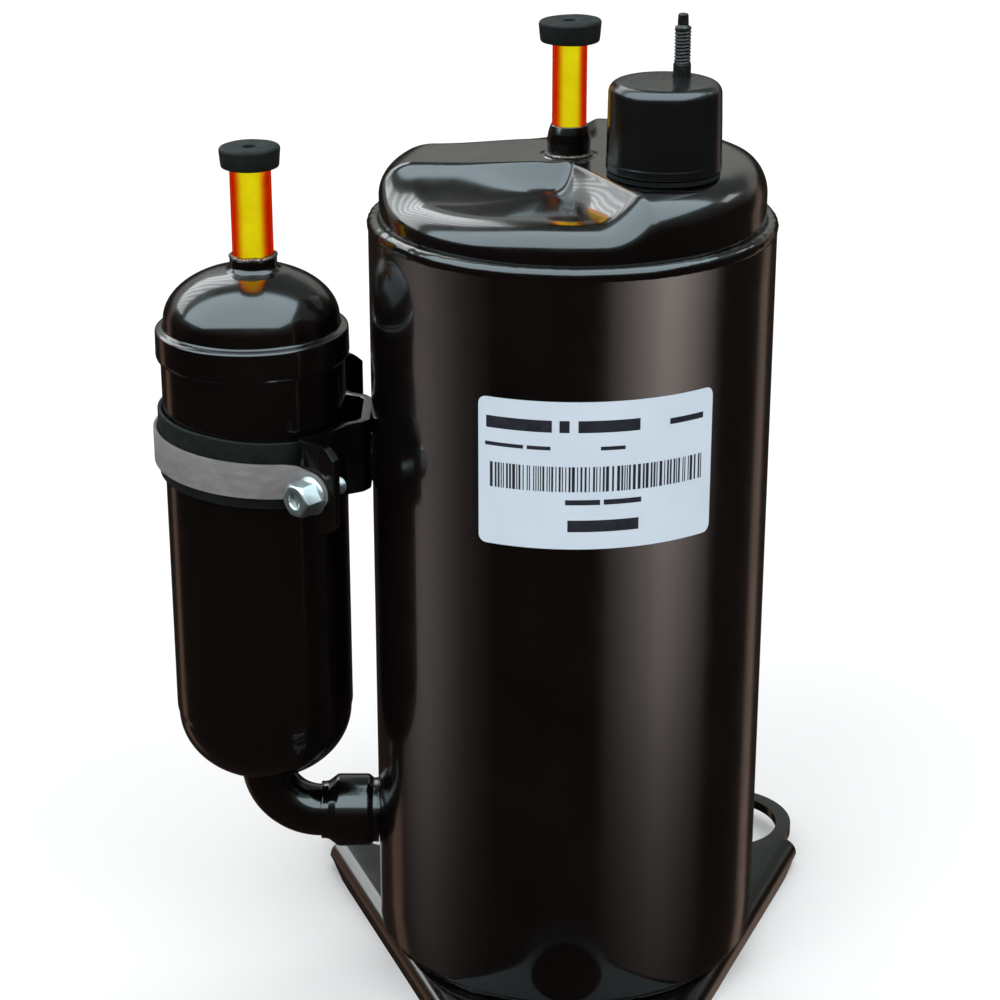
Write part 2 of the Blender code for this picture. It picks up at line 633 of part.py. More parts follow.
# --- clamp ----------------------------------------------------------------------------------
PAD_IN = ACC_R + GAP
BAND_IN = PAD_IN + PAD_T + GAP
EAR_CORNER = Vector((ACC_X, 0.0)) + Vector(polar(BAND_IN + 0.5 * BRACKET_T, EAR_ANGLE))
BOLT_POINT = EAR_CORNER + EAR_DIRECTION * 7.0
BOLT_DIRECTION = Vector((-EAR_DIRECTION.y, EAR_DIRECTION.x))
REAR_DIRECTION = Vector(polar(1.0, REAR_HEADING))
REAR_CORNER = Vector((ACC_X, 0.0)) + Vector(polar(BAND_IN + 0.5 * BRACKET_T, -EAR_ANGLE))


def make_bracket():
    """A cradle of plate: a web against the shell, two arms round the pad, and an ear at each end."""
    middle = BAND_IN + 0.5 * BRACKET_T
    web_x = -SHELL_R - 0.4 - 0.5 * BRACKET_T
    path = [tuple(EAR_CORNER + EAR_DIRECTION * EAR_LENGTH), tuple(EAR_CORNER + EAR_DIRECTION * 1.5)]
    path += arc((ACC_X, 0.0), middle, EAR_ANGLE + 3.0, -27.0, 5)
    path += [(web_x - 1.6, -11.0), (web_x, -8.5), (web_x, 8.5), (web_x - 1.6, 11.0)]
    path += arc((ACC_X, 0.0), middle, 27.0, 57.0, 5)
    path += [tuple(REAR_CORNER + REAR_DIRECTION * 1.5), tuple(REAR_CORNER + REAR_DIRECTION * 17.5)]
    loop = strip_loop(path, BRACKET_T)
    bracket = plate("clamp_bracket", [loop], CLAMP_BOTTOM - EAR_DROP, CLAMP_TOP + HOOK_RISE, BLACK_PAINT)
    behind_ear = box_loop(EAR_CORNER - EAR_DIRECTION * 97.0, EAR_HEADING, 200.0, 200.0)
    slot(bracket, [behind_ear], CLAMP_BOTTOM - EAR_DROP - 5.0, CLAMP_BOTTOM)
    behind_hook = box_loop(REAR_CORNER - REAR_DIRECTION * 96.0, REAR_HEADING, 200.0, 200.0)
    slot(bracket, [behind_hook], CLAMP_TOP, CLAMP_TOP + HOOK_RISE + 5.0)
    hole(bracket, 2.5 + GAP, -6.0, 6.0, (*BOLT_POINT, CLAMP_AXIS_Z), (*BOLT_DIRECTION, 0.0), 16)
    return bracket


def band_path():
    """The strap's centreline: a tab on the front ear, round the far side, to the rear ear."""
    offset = 0.5 * (BRACKET_T + BAND_T) + GAP
    tab = EAR_CORNER - BOLT_DIRECTION * offset
    radius = BAND_IN + 0.5 * BAND_T
    path = [tuple(tab + EAR_DIRECTION * 12.5), tuple(tab + EAR_DIRECTION * 1.0)]
    path += arc((ACC_X, 0.0), radius, -68.0, -290.0, 28)
    corner = REAR_CORNER + Vector((-REAR_DIRECTION.y, REAR_DIRECTION.x)) * offset
    path += [tuple(corner + REAR_DIRECTION * 1.0), tuple(corner + REAR_DIRECTION * 19.0)]
    return path


def make_clamp():
    make_bracket()
    half = 0.5 * BAND_HEIGHT
    band = plate("clamp_band", [strip_loop(band_path(), BAND_T)],
                 BAND_Z - half, BAND_Z + half, BAND_STEEL)
    hole(band, 2.5 + GAP, -6.0, 6.0, (*BOLT_POINT, CLAMP_AXIS_Z), (*BOLT_DIRECTION, 0.0), 16)
    pad_path = arc((ACC_X, 0.0), PAD_IN + 0.5 * PAD_T, -32.0, -328.0, 28)
    pad = plate("clamp_pad", [strip_loop(pad_path, PAD_T)], PAD_BOTTOM, PAD_TOP, PLUG_RUBBER)
    for strip in (band, pad):
        for vertex in strip.data.vertices:
            vertex.co.z -= BAND_TILT * (vertex.co.x - BOLT_POINT.x * MM)
    seat = 0.5 * BRACKET_T + GAP + BAND_T + GAP
    shank = 9.0
    profile = [(0, seat + 6.0), (3.6, seat + 6.0), (4.5, seat + 5.2), (4.5, seat + 1.4)]
    profile += [(6.2, seat + 1.0), (6.2, seat), (2.5, seat), (2.5, -shank), (0, -shank)]
    head_side = (-BOLT_DIRECTION.x, -BOLT_DIRECTION.y, 0.0)
    turned("clamp_bolt", profile, ZINC, 12, at=(*BOLT_POINT, CLAMP_AXIS_Z), along=head_side)


def make_label():
    """A printed sheet on the front of the shell, between two heights."""
    path = arc((0, 0), SHELL_R + GAP + 0.5 * LABEL_T, *LABEL_ANGLES, 14)
    plate("rating_label", [strip_loop(path, LABEL_T)], LABEL_BOTTOM, LABEL_TOP, PAPER)


# --- motor ----------------------------------------------------------------------------------
def stator_bore_loop():
    """The bore with its semi-closed winding slots."""
    loop = []
    for i in range(SLOTS):
        middle = 360.0 * i / SLOTS
        along = Vector(polar(1.0, middle))
        across = Vector((-along.y, along.x))
        side = ((STATOR_BORE, 1.1), (WINDING_IN - 1.2, 1.1), (WINDING_IN - 0.6, 2.0), (WINDING_OUT + 0.6, 2.4))
        loop += [tuple(along * r - across * w) for r, w in side]
        loop += [tuple(along * r + across * w) for r, w in reversed(side)]
        loop.append(polar(STATOR_BORE, middle + 180.0 / SLOTS))
    return loop


def make_stator():
    outer = circle((0, 0), CAP_R - 0.1, 36)
    plate("stator_core", [outer, stator_bore_loop()], STACK_BOTTOM, STACK_TOP, IRON)
    base = STACK_TOP + GAP
    corner = 5.0
    top = base + WINDING_OVERHANG
    profile = arc((WINDING_IN + corner, top - corner), corner, 180.0, 90.0, 1)
    profile += arc((WINDING_OUT - corner, top - corner), corner, 90.0, 0.0, 1)
    profile += [(WINDING_OUT, base), (WINDING_IN, base)]
    winding = turned("stator_winding", profile, WIRE, SLOTS, True)
    mirror_z = STACK_TOP + STACK_BOTTOM
    lower = [(r, mirror_z - z) for r, z in reversed(profile)]
    boolean(winding, turned("lower_end_turns", lower, WIRE, SLOTS, True, group=CUTTERS), "UNION")
    bars = bpy.data.meshes.new("slot_bars")
    bm = bmesh.new()
    for i in range(SLOTS):
        turn = Matrix.Rotation(FULL_TURN * i / SLOTS, 4, "Z")
        size = Matrix.Diagonal((11.0 * MM, 3.2 * MM, (STACK_TOP - STACK_BOTTOM + 6.0) * MM, 1.0))
        middle = Matrix.Translation((0.5 * (WINDING_IN + WINDING_OUT) * MM, 0.0, 0.5 * mirror_z * MM))
        bmesh.ops.create_cube(bm, size=1.0, matrix=turn @ middle @ size)
    bm.to_mesh(bars)
    bm.free()
    group = bpy.data.objects.new("slot_bars", bars)
    CUTTERS.objects.link(group)
    boolean(winding, group, "UNION")


def make_rotor():
    bore = SHAFT_R + GAP
    ring("rotor_core", bore, ROTOR_R, STACK_BOTTOM, STACK_TOP, IRON, MEDIUM)
    ring("rotor_end_ring_upper", 18.0, 28.0, STACK_TOP + GAP, STACK_TOP + 6.5, ALUMINIUM, MEDIUM)
    ring("rotor_end_ring_lower", 18.0, 28.0, STACK_BOTTOM - 6.5, STACK_BOTTOM - GAP, ALUMINIUM, MEDIUM)
    for name, z0, z1, middle in (
        ("balance_weight_upper", STACK_TOP + 6.8, STACK_TOP + 13.0, VANE_ANGLE),
        ("balance_weight_lower", STACK_BOTTOM - 13.0, STACK_BOTTOM - 6.8, VANE_ANGLE + 180.0),
    ):
        outer = arc((0, 0), 27.0, middle - 85.0, middle + 85.0, 18)
        inner = arc((0, 0), 19.0, middle + 85.0, middle - 85.0, 14)
        plate(name, [outer + inner], z0, z1, IRON)


def make_crankshaft():
    shaft = rod("crankshaft", SHAFT_R, SHAFT_BOTTOM, SHAFT_TOP, STEEL, COARSE)
    throw = polar(ECCENTRICITY, VANE_ANGLE)
    low, high = CYLINDER_BOTTOM + GAP, CYLINDER_TOP - GAP
    pin = rod("eccentric_pin", ECCENTRIC_R, low, high, STEEL, MEDIUM, (*throw, 0.0), None, CUTTERS)
    boolean(shaft, pin, "UNION")
    hole(shaft, 4.2, SHAFT_BOTTOM - 2.0, 72.0, steps=12)
    hole(shaft, 1.5, 0.0, 14.0, (0, 0, 66.0), (0, 1, 0), 8)
    roller = ring("roller", ECCENTRIC_R + GAP, ROLLER_R, low, high, STEEL, MEDIUM)
    roller.matrix_world = Matrix.Translation(Vector((*throw, 0.0)) * MM)


def make_oil_paddle():
    """A twisted strip that lifts oil up the bore of the shaft."""
    mesh = bpy.data.meshes.new("oil_paddle")
    bm = bmesh.new()
    bmesh.ops.create_cube(bm, size=1.0, matrix=Matrix.Diagonal((6.6 * MM, 1.0 * MM, 36.0 * MM, 1.0)))
    upright = [e for e in bm.edges if abs(e.verts[0].co.z - e.verts[1].co.z) > 30.0 * MM]
    bmesh.ops.subdivide_edges(bm, edges=upright, cuts=9, use_grid_fill=True)
    for vertex in bm.verts:
        turn = Matrix.Rotation(math.pi * vertex.co.z / (36.0 * MM), 3, "Z")
        vertex.co = turn @ vertex.co + Vector((0.0, 0.0, 28.0 * MM))
    bmesh.ops.recalc_face_normals(bm, faces=bm.faces)
    bm.to_mesh(mesh)
    bm.free()
    mesh.materials.append(STEEL)
    PARTS.objects.link(bpy.data.objects.new("oil_paddle", mesh))


# --- pump -----------------------------------------------------------------------------------
def make_cylinder():
    block = ring("cylinder_block", CYLINDER_BORE, CAP_R - 0.2, CYLINDER_BOTTOM, CYLINDER_TOP, IRON, MEDIUM)
    low, high = CYLINDER_BOTTOM - 3.0, CYLINDER_TOP + 3.0
    outer_end = CYLINDER_BORE + VANE_LENGTH + 3.0
    middle = polar(0.5 * (outer_end + CYLINDER_BORE - 3.0), VANE_ANGLE)
    length = outer_end - CYLINDER_BORE + 3.0
    slot(block, [box_loop(middle, VANE_ANGLE, length, VANE_T + 2 * GAP)], low, high)
    outwards = (*polar(1.0, VANE_ANGLE), 0.0)
    hole(block, 4.2, CYLINDER_BORE + VANE_LENGTH, 60.0, (0, 0, INLET_Z), outwards, 12)
    hole(block, OUTLET_R + 0.45, 38.6, 60.0, (0, 0, INLET_Z), (-1, 0, 0), 16)
    hole(block, 6.0, 15.0, 45.0, (0, 0, INLET_Z), (-1, 0, 0), 12)
    for angle in (0.0, 60.0, 270.0):
        slot(block, [box_loop(polar(43.0, angle), angle, 8.0, 24.0)], low, high)
    for angle in BOLT_ANGLES:
        hole(block, 2.5 + GAP, low, high, (*polar(BOLT_CIRCLE, angle), 0.0), None, 12)


def make_vane():
    low, high = CYLINDER_BOTTOM + GAP, CYLINDER_TOP - GAP
    middle = polar(CYLINDER_BORE + 0.5 * VANE_LENGTH, VANE_ANGLE)
    plate("vane", [box_loop(middle, VANE_ANGLE, VANE_LENGTH, VANE_T)], low, high, STEEL)
    turns, radius, steps = 4, 2.9, 8
    start = CYLINDER_BORE + VANE_LENGTH + 0.8
    length = SHELL_BORE - GAP - 0.5 - start
    along = Vector((*polar(1.0, VANE_ANGLE), 0.0))
    across = Vector((-along.y, along.x, 0.0))
    points = []
    for i in range(turns * steps + 1):
        a = FULL_TURN * i / steps
        centre = along * (start + length * i / (turns * steps)) + Vector((0, 0, INLET_Z))
        points.append(tuple(centre + across * (radius * math.cos(a)) + Vector((0, 0, radius * math.sin(a)))))
    swept("vane_spring", points, 0.4, STEEL, 4)


def make_bearings():
    bore = SHAFT_R + GAP
    low = CYLINDER_TOP + GAP
    profile = [(13.5, 92.0), (13.5, low + 6.7), (BEARING_R, low + 6.7), (BEARING_R, low)]
    main = turned("main_bearing", profile + [(bore, low), (bore, 92.0)], IRON, MEDIUM, True)
    port = (*polar(PORT_CIRCLE, PORT_ANGLE), 0.0)
    hole(main, 3.2, low - 2.0, low + 10.0, port, None, 16)
    rivet_at = (*polar(PORT_CIRCLE, REED_ROOT_ANGLE), 0.0)
    hole(main, 1.3 + GAP, low + 3.4, low + 10.0, rivet_at, None, 12)
    high = CYLINDER_BOTTOM - GAP
    profile = [(BEARING_R, high), (BEARING_R, high - 6.7), (12.0, high - 6.7), (12.0, 13.0)]
    sub = turned("sub_bearing", profile + [(bore, 13.0), (bore, high)], IRON, MEDIUM, True)
    for i, angle in enumerate(BOLT_ANGLES):
        at = (*polar(BOLT_CIRCLE, angle), 0.0)
        hole(main, 2.5 + GAP, low - 3.0, low + 12.0, at, None, 12)
        hole(sub, 2.5 + GAP, high - 12.0, high + 3.0, at, None, 12)
        seat = high - 6.7 - GAP
        bolt = [(0, low + 6.0), (2.5, low + 6.0), (2.5, seat), (4.3, seat), (4.3, seat - 4.5), (0, seat - 4.5)]
        turned(f"pump_bolt_{i + 1}", bolt, STEEL, 12, at=at)


def make_valve():
    face = CYLINDER_TOP + GAP + 6.7
    profile = [(24.5, face + 12.5), (27.5, face + 9.5), (27.5, face + GAP), (26.3, face + GAP)]
    profile += [(26.3, face + 9.0), (24.0, face + 11.3), (14.0, face + 11.3), (14.0, face + 12.5)]
    turned("discharge_muffler", profile, BLACK_PAINT, COARSE, True)
    port = Vector(polar(PORT_CIRCLE, PORT_ANGLE))
    root = Vector(polar(PORT_CIRCLE, REED_ROOT_ANGLE))
    run = port - root
    heading = math.degrees(math.atan2(run.y, run.x))
    outline = arc(port, 4.2, heading - 150.0, heading + 150.0, 12)
    outline += arc(root, 3.0, heading + 135.0, heading + 225.0, 5)
    eye = circle(root, 1.3 + 0.4, 12)
    plate("valve_reed", [outline, eye], face + GAP, face + GAP + 0.4, STEEL)
    low = face + GAP + 0.4 + GAP
    section = [(-3.0, 0.0), (1.0, 0.0), (run.length + 3.5, 2.9), (run.length + 3.5, 4.1)]
    section += [(1.0, 1.2), (-3.0, 1.2)]
    stop = plate("valve_stop", [section], -2.4, 2.4, STEEL)
    along = run.normalized()
    stop.data.transform(Matrix((
        (along.x, 0.0, along.y, root.x * MM),
        (along.y, 0.0, -along.x, root.y * MM),
        (0.0, 1.0, 0.0, low * MM),
        (0.0, 0.0, 0.0, 1.0),
    )))
    weld(stop.data)
    at = (*root, 0.0)
    hole(stop, 1.3 + GAP, low - 2.0, low + 4.0, at, None, 12)
    top = low + 1.2 + GAP
    rivet = [(0, top + 1.2), (2.4, top + 0.9), (2.4, top), (1.3, top), (1.3, face - 2.6), (0, face - 2.6)]
    turned("valve_rivet", rivet, STEEL, 12, at=at)


def make_connector():
    """The plug on the terminal's inner pins, and the three leads down to the winding."""
    seat = PLATEAU_Z + GAP
    bottom = seat - 17.0
    body = plate("lead_connector", [circle(TERMINAL_AT, 8.0, 20)], bottom, seat - 7.5, NYLON)
    for i in range(3):
        dx, dy = polar(PIN_CIRCLE, 90.0 + 120.0 * i)
        pin_at = (TERMINAL_AT[0] + dx, TERMINAL_AT[1] + dy, 0.0)
        hole(body, 1.15 + GAP, seat - 12.6, seat, pin_at, None, 12)
        landing = Vector(polar(39.5, -50.0 + 22.0 * (1 - i)))
        low = STACK_TOP + GAP + WINDING_OVERHANG + 0.8
        start = Vector((pin_at[0], pin_at[1], bottom - GAP))
        end = Vector((landing.x, landing.y, low))
        side = Vector((0.0, 0.0, 9.0))
        path = []
        for k in range(9):
            t = k / 8.0
            a = start * (1 - t) ** 3 + (start - side) * (3 * t * (1 - t) ** 2)
            path.append(tuple(a + (end + side) * (3 * t * t * (1 - t)) + end * t ** 3))
        swept(f"motor_lead_{i + 1}", path, 1.1, WIRE, 8)


def build():
    make_shell()
    make_top_cap()
    make_weld_rings()
    make_bottom_cap()
    make_base_plate()
    make_discharge_fittings()
    make_plug("discharge_plug", (*DISCHARGE_AT, DISCHARGE_TOP + GAP), DISCHARGE_R - DISCHARGE_WALL)
    make_terminal()
    make_accumulator()
    make_plug("suction_plug", (SUCTION_X, 0, SUCTION_TOP + GAP), SUCTION_R - SUCTION_WALL)
    make_outlet_tube()
    make_nipple()
    make_clamp()
    make_label()
    make_stator()
    make_rotor()
    make_crankshaft()
    make_oil_paddle()
    make_cylinder()
    make_vane()
    make_bearings()
    make_valve()
    make_connector()


build()
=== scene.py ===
"""The finished look of a hermetic rotary refrigeration compressor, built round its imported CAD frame.

Sizes are in millimetres and are worked out from the frame's boxes; a mesh is made in metres.
"""
import json
import math
import random

import bmesh
import bpy
from mathutils import Matrix, Vector, noise


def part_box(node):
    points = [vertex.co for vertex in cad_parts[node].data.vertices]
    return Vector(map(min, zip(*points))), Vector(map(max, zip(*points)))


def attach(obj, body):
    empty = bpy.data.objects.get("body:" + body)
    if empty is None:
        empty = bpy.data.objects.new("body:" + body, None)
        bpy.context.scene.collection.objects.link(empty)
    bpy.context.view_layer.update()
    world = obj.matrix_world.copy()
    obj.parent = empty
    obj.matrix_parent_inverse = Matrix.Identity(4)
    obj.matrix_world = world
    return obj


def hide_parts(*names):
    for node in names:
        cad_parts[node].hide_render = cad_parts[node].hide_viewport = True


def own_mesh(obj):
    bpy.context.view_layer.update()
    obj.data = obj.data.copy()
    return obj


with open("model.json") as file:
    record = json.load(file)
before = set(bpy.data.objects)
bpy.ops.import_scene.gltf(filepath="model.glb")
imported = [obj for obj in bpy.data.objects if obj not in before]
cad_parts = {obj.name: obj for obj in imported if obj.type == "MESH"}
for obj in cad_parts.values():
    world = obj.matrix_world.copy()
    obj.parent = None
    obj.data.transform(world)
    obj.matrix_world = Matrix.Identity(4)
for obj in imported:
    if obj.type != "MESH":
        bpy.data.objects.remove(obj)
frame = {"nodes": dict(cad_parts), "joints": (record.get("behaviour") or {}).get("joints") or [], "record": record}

MM = 0.001
TAU = 2.0 * math.pi
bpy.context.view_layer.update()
ROOT = "housing"
LINES_PER_UNIT = 0.314  # a wave texture of scale 1 has this many lines to a metre
FINE, MEDIUM, COARSE = 320, 96, 48  # sides of the turned pieces, by size


# --- sizes read from the frame ---------------------------------------------------------------
def span(node):
    """Lowest and highest corners of a CAD node, in millimetres."""
    low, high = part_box(node)
    return low / MM, high / MM


def axis_of(node):
    """Where a turned node's upright axis stands."""
    low, high = span(node)
    return 0.5 * (low.x + high.x), 0.5 * (low.y + high.y)


SHELL_LOW, SHELL_HIGH = span("main_shell")
SHELL_R = SHELL_HIGH.x
SHELL_WALL = 2.8
SHELL_TOP = SHELL_HIGH.z
SHELL_BOTTOM = SHELL_LOW.z
CAP_LOW, CAP_HIGH = span("top_cap")
CAP_R = CAP_HIGH.x
PLATEAU_Z = SHELL_TOP + 19.0
CAP_WALL = 3.0
CAP_SHOULDER = 10.0
# The crown's sunk step, its rear fall and its dish: sizes in millimetres.
STEP_DROP = 6.8
STEP_WIDTH = 9.0
STEP_WIDEN = 11.0
STEP_SIDE_WIDTH = 7.0
STEP_SIDE_WIDEN = 5.5
STEP_EDGE_Y = -3.0
STEP_EDGE_SKEW = 5.0
STEP_CORNER = Vector((-2.0, -6.0))
STEP_SIDE = Vector((-0.894, -0.447))
STEP_BLEND = 0.3
STEP_NOSE = 0.05
LEFT_FALL = 1.4
RIGHT_RISE = 0.9
REAR_DROP = 6.0
REAR_EDGE_Y = 18.0
REAR_SIDE_X = 8.0
REAR_WIDTH = 18.0
DISH = 0.9
BOSS = 0.5

PLATE_HIGH = span("base_plate")[1]
PLATE_TOP = PLATE_HIGH.z
PLATE_T = 3.0
FOOT_R = 22.0
FOOT_HOLE_R = 17.3
FOOT_MOUNT_REACH = 19.6  # from a foot's centre out to its mount
FLANGE_BEND = 4.5

TUBE_LOW, TUBE_HIGH = span("discharge_tube")
DISCHARGE_AT = axis_of("discharge_tube")
TUBE_R = 0.5 * (TUBE_HIGH.x - TUBE_LOW.x)
SUCTION_LOW, SUCTION_HIGH = span("suction_tube")
SUCTION_AT = axis_of("suction_tube")
SUCTION_R = 0.5 * (SUCTION_HIGH.x - SUCTION_LOW.x)
COLLAR_TOP = span("discharge_collar")[1].z
COVER_LOW, COVER_HIGH = span("terminal_cover")
COVER_AT = axis_of("terminal_cover")
COVER_R = 0.5 * (COVER_HIGH.x - COVER_LOW.x)
STUD_AT = axis_of("cover_stud")
STUD_LOW, STUD_HIGH = span("cover_stud")

ACC_AT = axis_of("accumulator_body")
ACC_X = ACC_AT[0]
ACC_LOW, ACC_HIGH = span("accumulator_body")
ACC_R = 0.5 * (ACC_HIGH.x - ACC_LOW.x)
ACC_CAP_LOW, ACC_CAP_HIGH = span("accumulator_cap")
ACC_CAP_R = 0.5 * (ACC_CAP_HIGH.x - ACC_CAP_LOW.x)
OUTLET_LOW, OUTLET_HIGH = span("accumulator_outlet_tube")
OUTLET_R = OUTLET_HIGH.y
INLET_Z = OUTLET_LOW.z + OUTLET_R
ELBOW_R = 16.0
NIPPLE_LOW, NIPPLE_HIGH = span("inlet_nipple")
NIPPLE_R = NIPPLE_HIGH.y

PAD_BOTTOM = 150.5
PAD_TOP = 170.5
BRACKET_LOW, BRACKET_HIGH = span("clamp_bracket")
GAP = 0.3
PAD_T = 1.3
BAND_T = 1.1
BRACKET_T = 2.5
PAD_IN = ACC_R + GAP
BAND_IN = PAD_IN + PAD_T + GAP
CLAMP_Z = 0.5 * (span("clamp_bolt")[0].z + span("clamp_bolt")[1].z)
BAND_Z = 159.4
BAND_HEIGHT = 10.2
EAR_ANGLE = -60.0
EAR_LENGTH = 14.5
EAR_HEADING = -43.0
BOLT_REACH = 7.0
BAND_TILT = 0.085
REAR_HEADING = 38.0
EAR_DROP = 4.0
HOOK_RISE = 5.5


# --- plane geometry --------------------------------------------------------------------------
def polar(radius, angle):
    a = math.radians(angle)
    return (radius * math.cos(a), radius * math.sin(a))


def arc(centre, radius, start, end, steps):
    """Points on an arc, in degrees, both ends included."""
    angles = [start + (end - start) * i / steps for i in range(steps + 1)]
    return [(centre[0] + polar(radius, a)[0], centre[1] + polar(radius, a)[1]) for a in angles]


def ellipse(a, b, z_mid, start, end, steps):
    """Points (radius, height) on an ellipse, by angle from the horizontal."""
    angles = [math.radians(start + (end - start) * i / steps) for i in range(steps + 1)]
    return [(a * math.cos(t), z_mid + b * math.sin(t)) for t in angles]


def rounded(points, closed=False, steps=5):
    """An outline of (x, y) or (x, y, fillet) points, with each fillet drawn as an arc."""
    out = []
    count = len(points)
    for i, point in enumerate(points):
        here = Vector(point[:2])
        fillet = point[2] if len(point) > 2 else 0.0
        if fillet <= 0.0 or (not closed and i in (0, count - 1)):
            out.append(tuple(here))
            continue
        back = Vector(points[i - 1][:2]) - here
        ahead = Vector(points[(i + 1) % count][:2]) - here
        half = 0.5 * back.angle(ahead)
        if half > math.radians(89.0):
            out.append(tuple(here))
            continue
        reach = min(fillet / math.tan(half), 0.48 * back.length, 0.48 * ahead.length)
        radius = reach * math.tan(half)
        u, v = back.normalized(), ahead.normalized()
        centre = here + (u + v).normalized() * (radius / math.sin(half))
        first, last = here + u * reach - centre, here + v * reach - centre
        sweep = first.angle_signed(last)
        for k in range(steps + 1):
            out.append(tuple(centre + Matrix.Rotation(-sweep * k / steps, 2) @ first))
    return out


def smoothstep(t):
    t = min(max(t, 0.0), 1.0)
    return t * t * (3.0 - 2.0 * t)


def wobble(x, y, z, size, seed=0.0):
    """Smooth noise from -1 to 1, whose features are about that many millimetres."""
    return noise.noise(Vector((x / size + seed, y / size, z / size)))


# --- mesh building ---------------------------------------------------------------------------
def put_in_scene(name, data):
    """A new object for a mesh, a curve, a camera or a lamp."""
    obj = bpy.data.objects.new(name, data)
    bpy.context.scene.collection.objects.link(obj)
    return obj


def as_object(name, verts, faces, angle=32.0):
    """A mesh object from vertices in millimetres, welded and with its faces pointing out."""
    mesh = bpy.data.meshes.new(name)
    mesh.from_pydata([(x * MM, y * MM, z * MM) for x, y, z in verts], [], faces)
    obj = put_in_scene(name, mesh)
    clean(obj, angle)
    return obj


def clean(obj, angle=32.0):
    bm = bmesh.new()
    bm.from_mesh(obj.data)
    bmesh.ops.remove_doubles(bm, verts=bm.verts, dist=0.002 * MM)
    bmesh.ops.dissolve_degenerate(bm, edges=bm.edges, dist=0.001 * MM)
    bmesh.ops.recalc_face_normals(bm, faces=bm.faces)
    bm.to_mesh(obj.data)
    bm.free()
    obj.data.shade_smooth()
    obj.data.set_sharp_from_angle(angle=math.radians(angle))


def settle(obj, angle=32.0):
    """Turn an object's modifiers into plain mesh."""
    bpy.context.view_layer.update()
    graph = bpy.context.evaluated_depsgraph_get()
    mesh = bpy.data.meshes.new_from_object(obj.evaluated_get(graph))
    obj.modifiers.clear()
    old = obj.data
    obj.data = mesh
    bpy.data.meshes.remove(old)
    clean(obj, angle)
    return obj


def soften(obj, width, segments=2, angle=40.0):
    """Round the sharp edges of a piece."""
    bevel = obj.modifiers.new("Edges", "BEVEL")
    bevel.width = width * MM
    bevel.segments = segments
    bevel.limit_method = "ANGLE"
    bevel.angle_limit = math.radians(angle)
    bevel.use_clamp_overlap = True
    return settle(obj)


def combine(obj, others, operation):
    """Cut other meshes from a piece, or join them to it."""
    for other in others:
        modifier = obj.modifiers.new(other.name, "BOOLEAN")
        modifier.operation = operation
        modifier.solver = "EXACT"
        modifier.object = other
    settle(obj)
    for other in others:
        bpy.data.objects.remove(other, do_unlink=True)
    return obj


def skin(rings, ring, around=False, closed=True, base=0):
    """Faces over rings of points, from the point base on.

    around joins the last ring to the first; without it both ends are shut, by the last two faces.
    """
    faces = []
    for i in range(rings if around else rings - 1):
        a, b = base + i * ring, base + (i + 1) % rings * ring
        for k in range(ring if closed else ring - 1):
            n = (k + 1) % ring
            faces.append((a + k, b + k, b + n, a + n))
    if not around:
        faces += [tuple(range(ring)), tuple((rings - 1) * ring + k for k in reversed(range(ring)))]
    return faces


def lathe(name, profile, steps=MEDIUM, closed=False, at=(0, 0), shape=None, angle=32.0):
    """Spin a profile of (radius, height) about an upright axis.

    shape(x, y, z) may move a point once it is in place.
    """
    verts = []
    for i in range(steps):
        c, s = math.cos(TAU * i / steps), math.sin(TAU * i / steps)
        for r, z in profile:
            verts.append((at[0] + r * c, at[1] + r * s, z))
    if shape:
        verts = [shape(*v) for v in verts]
    return as_object(name, verts, skin(steps, len(profile), True, closed), angle)


def stretch(profile, longest=4.0):
    """Add points to a profile, so that no step is longer than this."""
    out = [profile[0]]
    for before, after in zip(profile, profile[1:]):
        gap = Vector(after) - Vector(before)
        cuts = max(1, math.ceil(gap.length / longest))
        out += [tuple(Vector(before) + gap * (k / cuts)) for k in range(1, cuts + 1)]
    return out


def aim(obj, at, along, roll="Y"):
    """Move a piece made round +Z to a point, with its +Z along a direction."""
    turn = Vector(along).to_track_quat("Z", roll).to_matrix().to_4x4()
    obj.data.transform(Matrix.Translation(Vector(at) * MM) @ turn)
    return obj


def sweep(name, path, radius, sides=COARSE, inner=None):
    """A round bar, or a tube, along a path of points; radius(i) may vary."""
    points = [Vector(p) for p in path]
    across = Vector((0.0, 1.0, 0.0))
    verts = []
    for size in (radius, inner) if inner else (radius,):
        for i, point in enumerate(points):
            along = points[min(i + 1, len(points) - 1)] - points[max(i - 1, 0)]
            side = across.cross(along).normalized()
            for k in range(sides):
                a = TAU * k / sides
                verts.append(tuple(point + across * (size(i) * math.cos(a)) + side * (size(i) * math.sin(a))))
    if not inner:
        return as_object(name, verts, skin(len(points), sides))
    bore = len(points) * sides
    walls = skin(len(points), sides)[:-2]
    walls += skin(len(points), sides, base=bore)[:-2]
    for start in (0, bore - sides):
        for k in range(sides):
            n = (k + 1) % sides
            walls.append((start + k, start + n, bore + start + n, bore + start + k))
    return as_object(name, verts, walls)


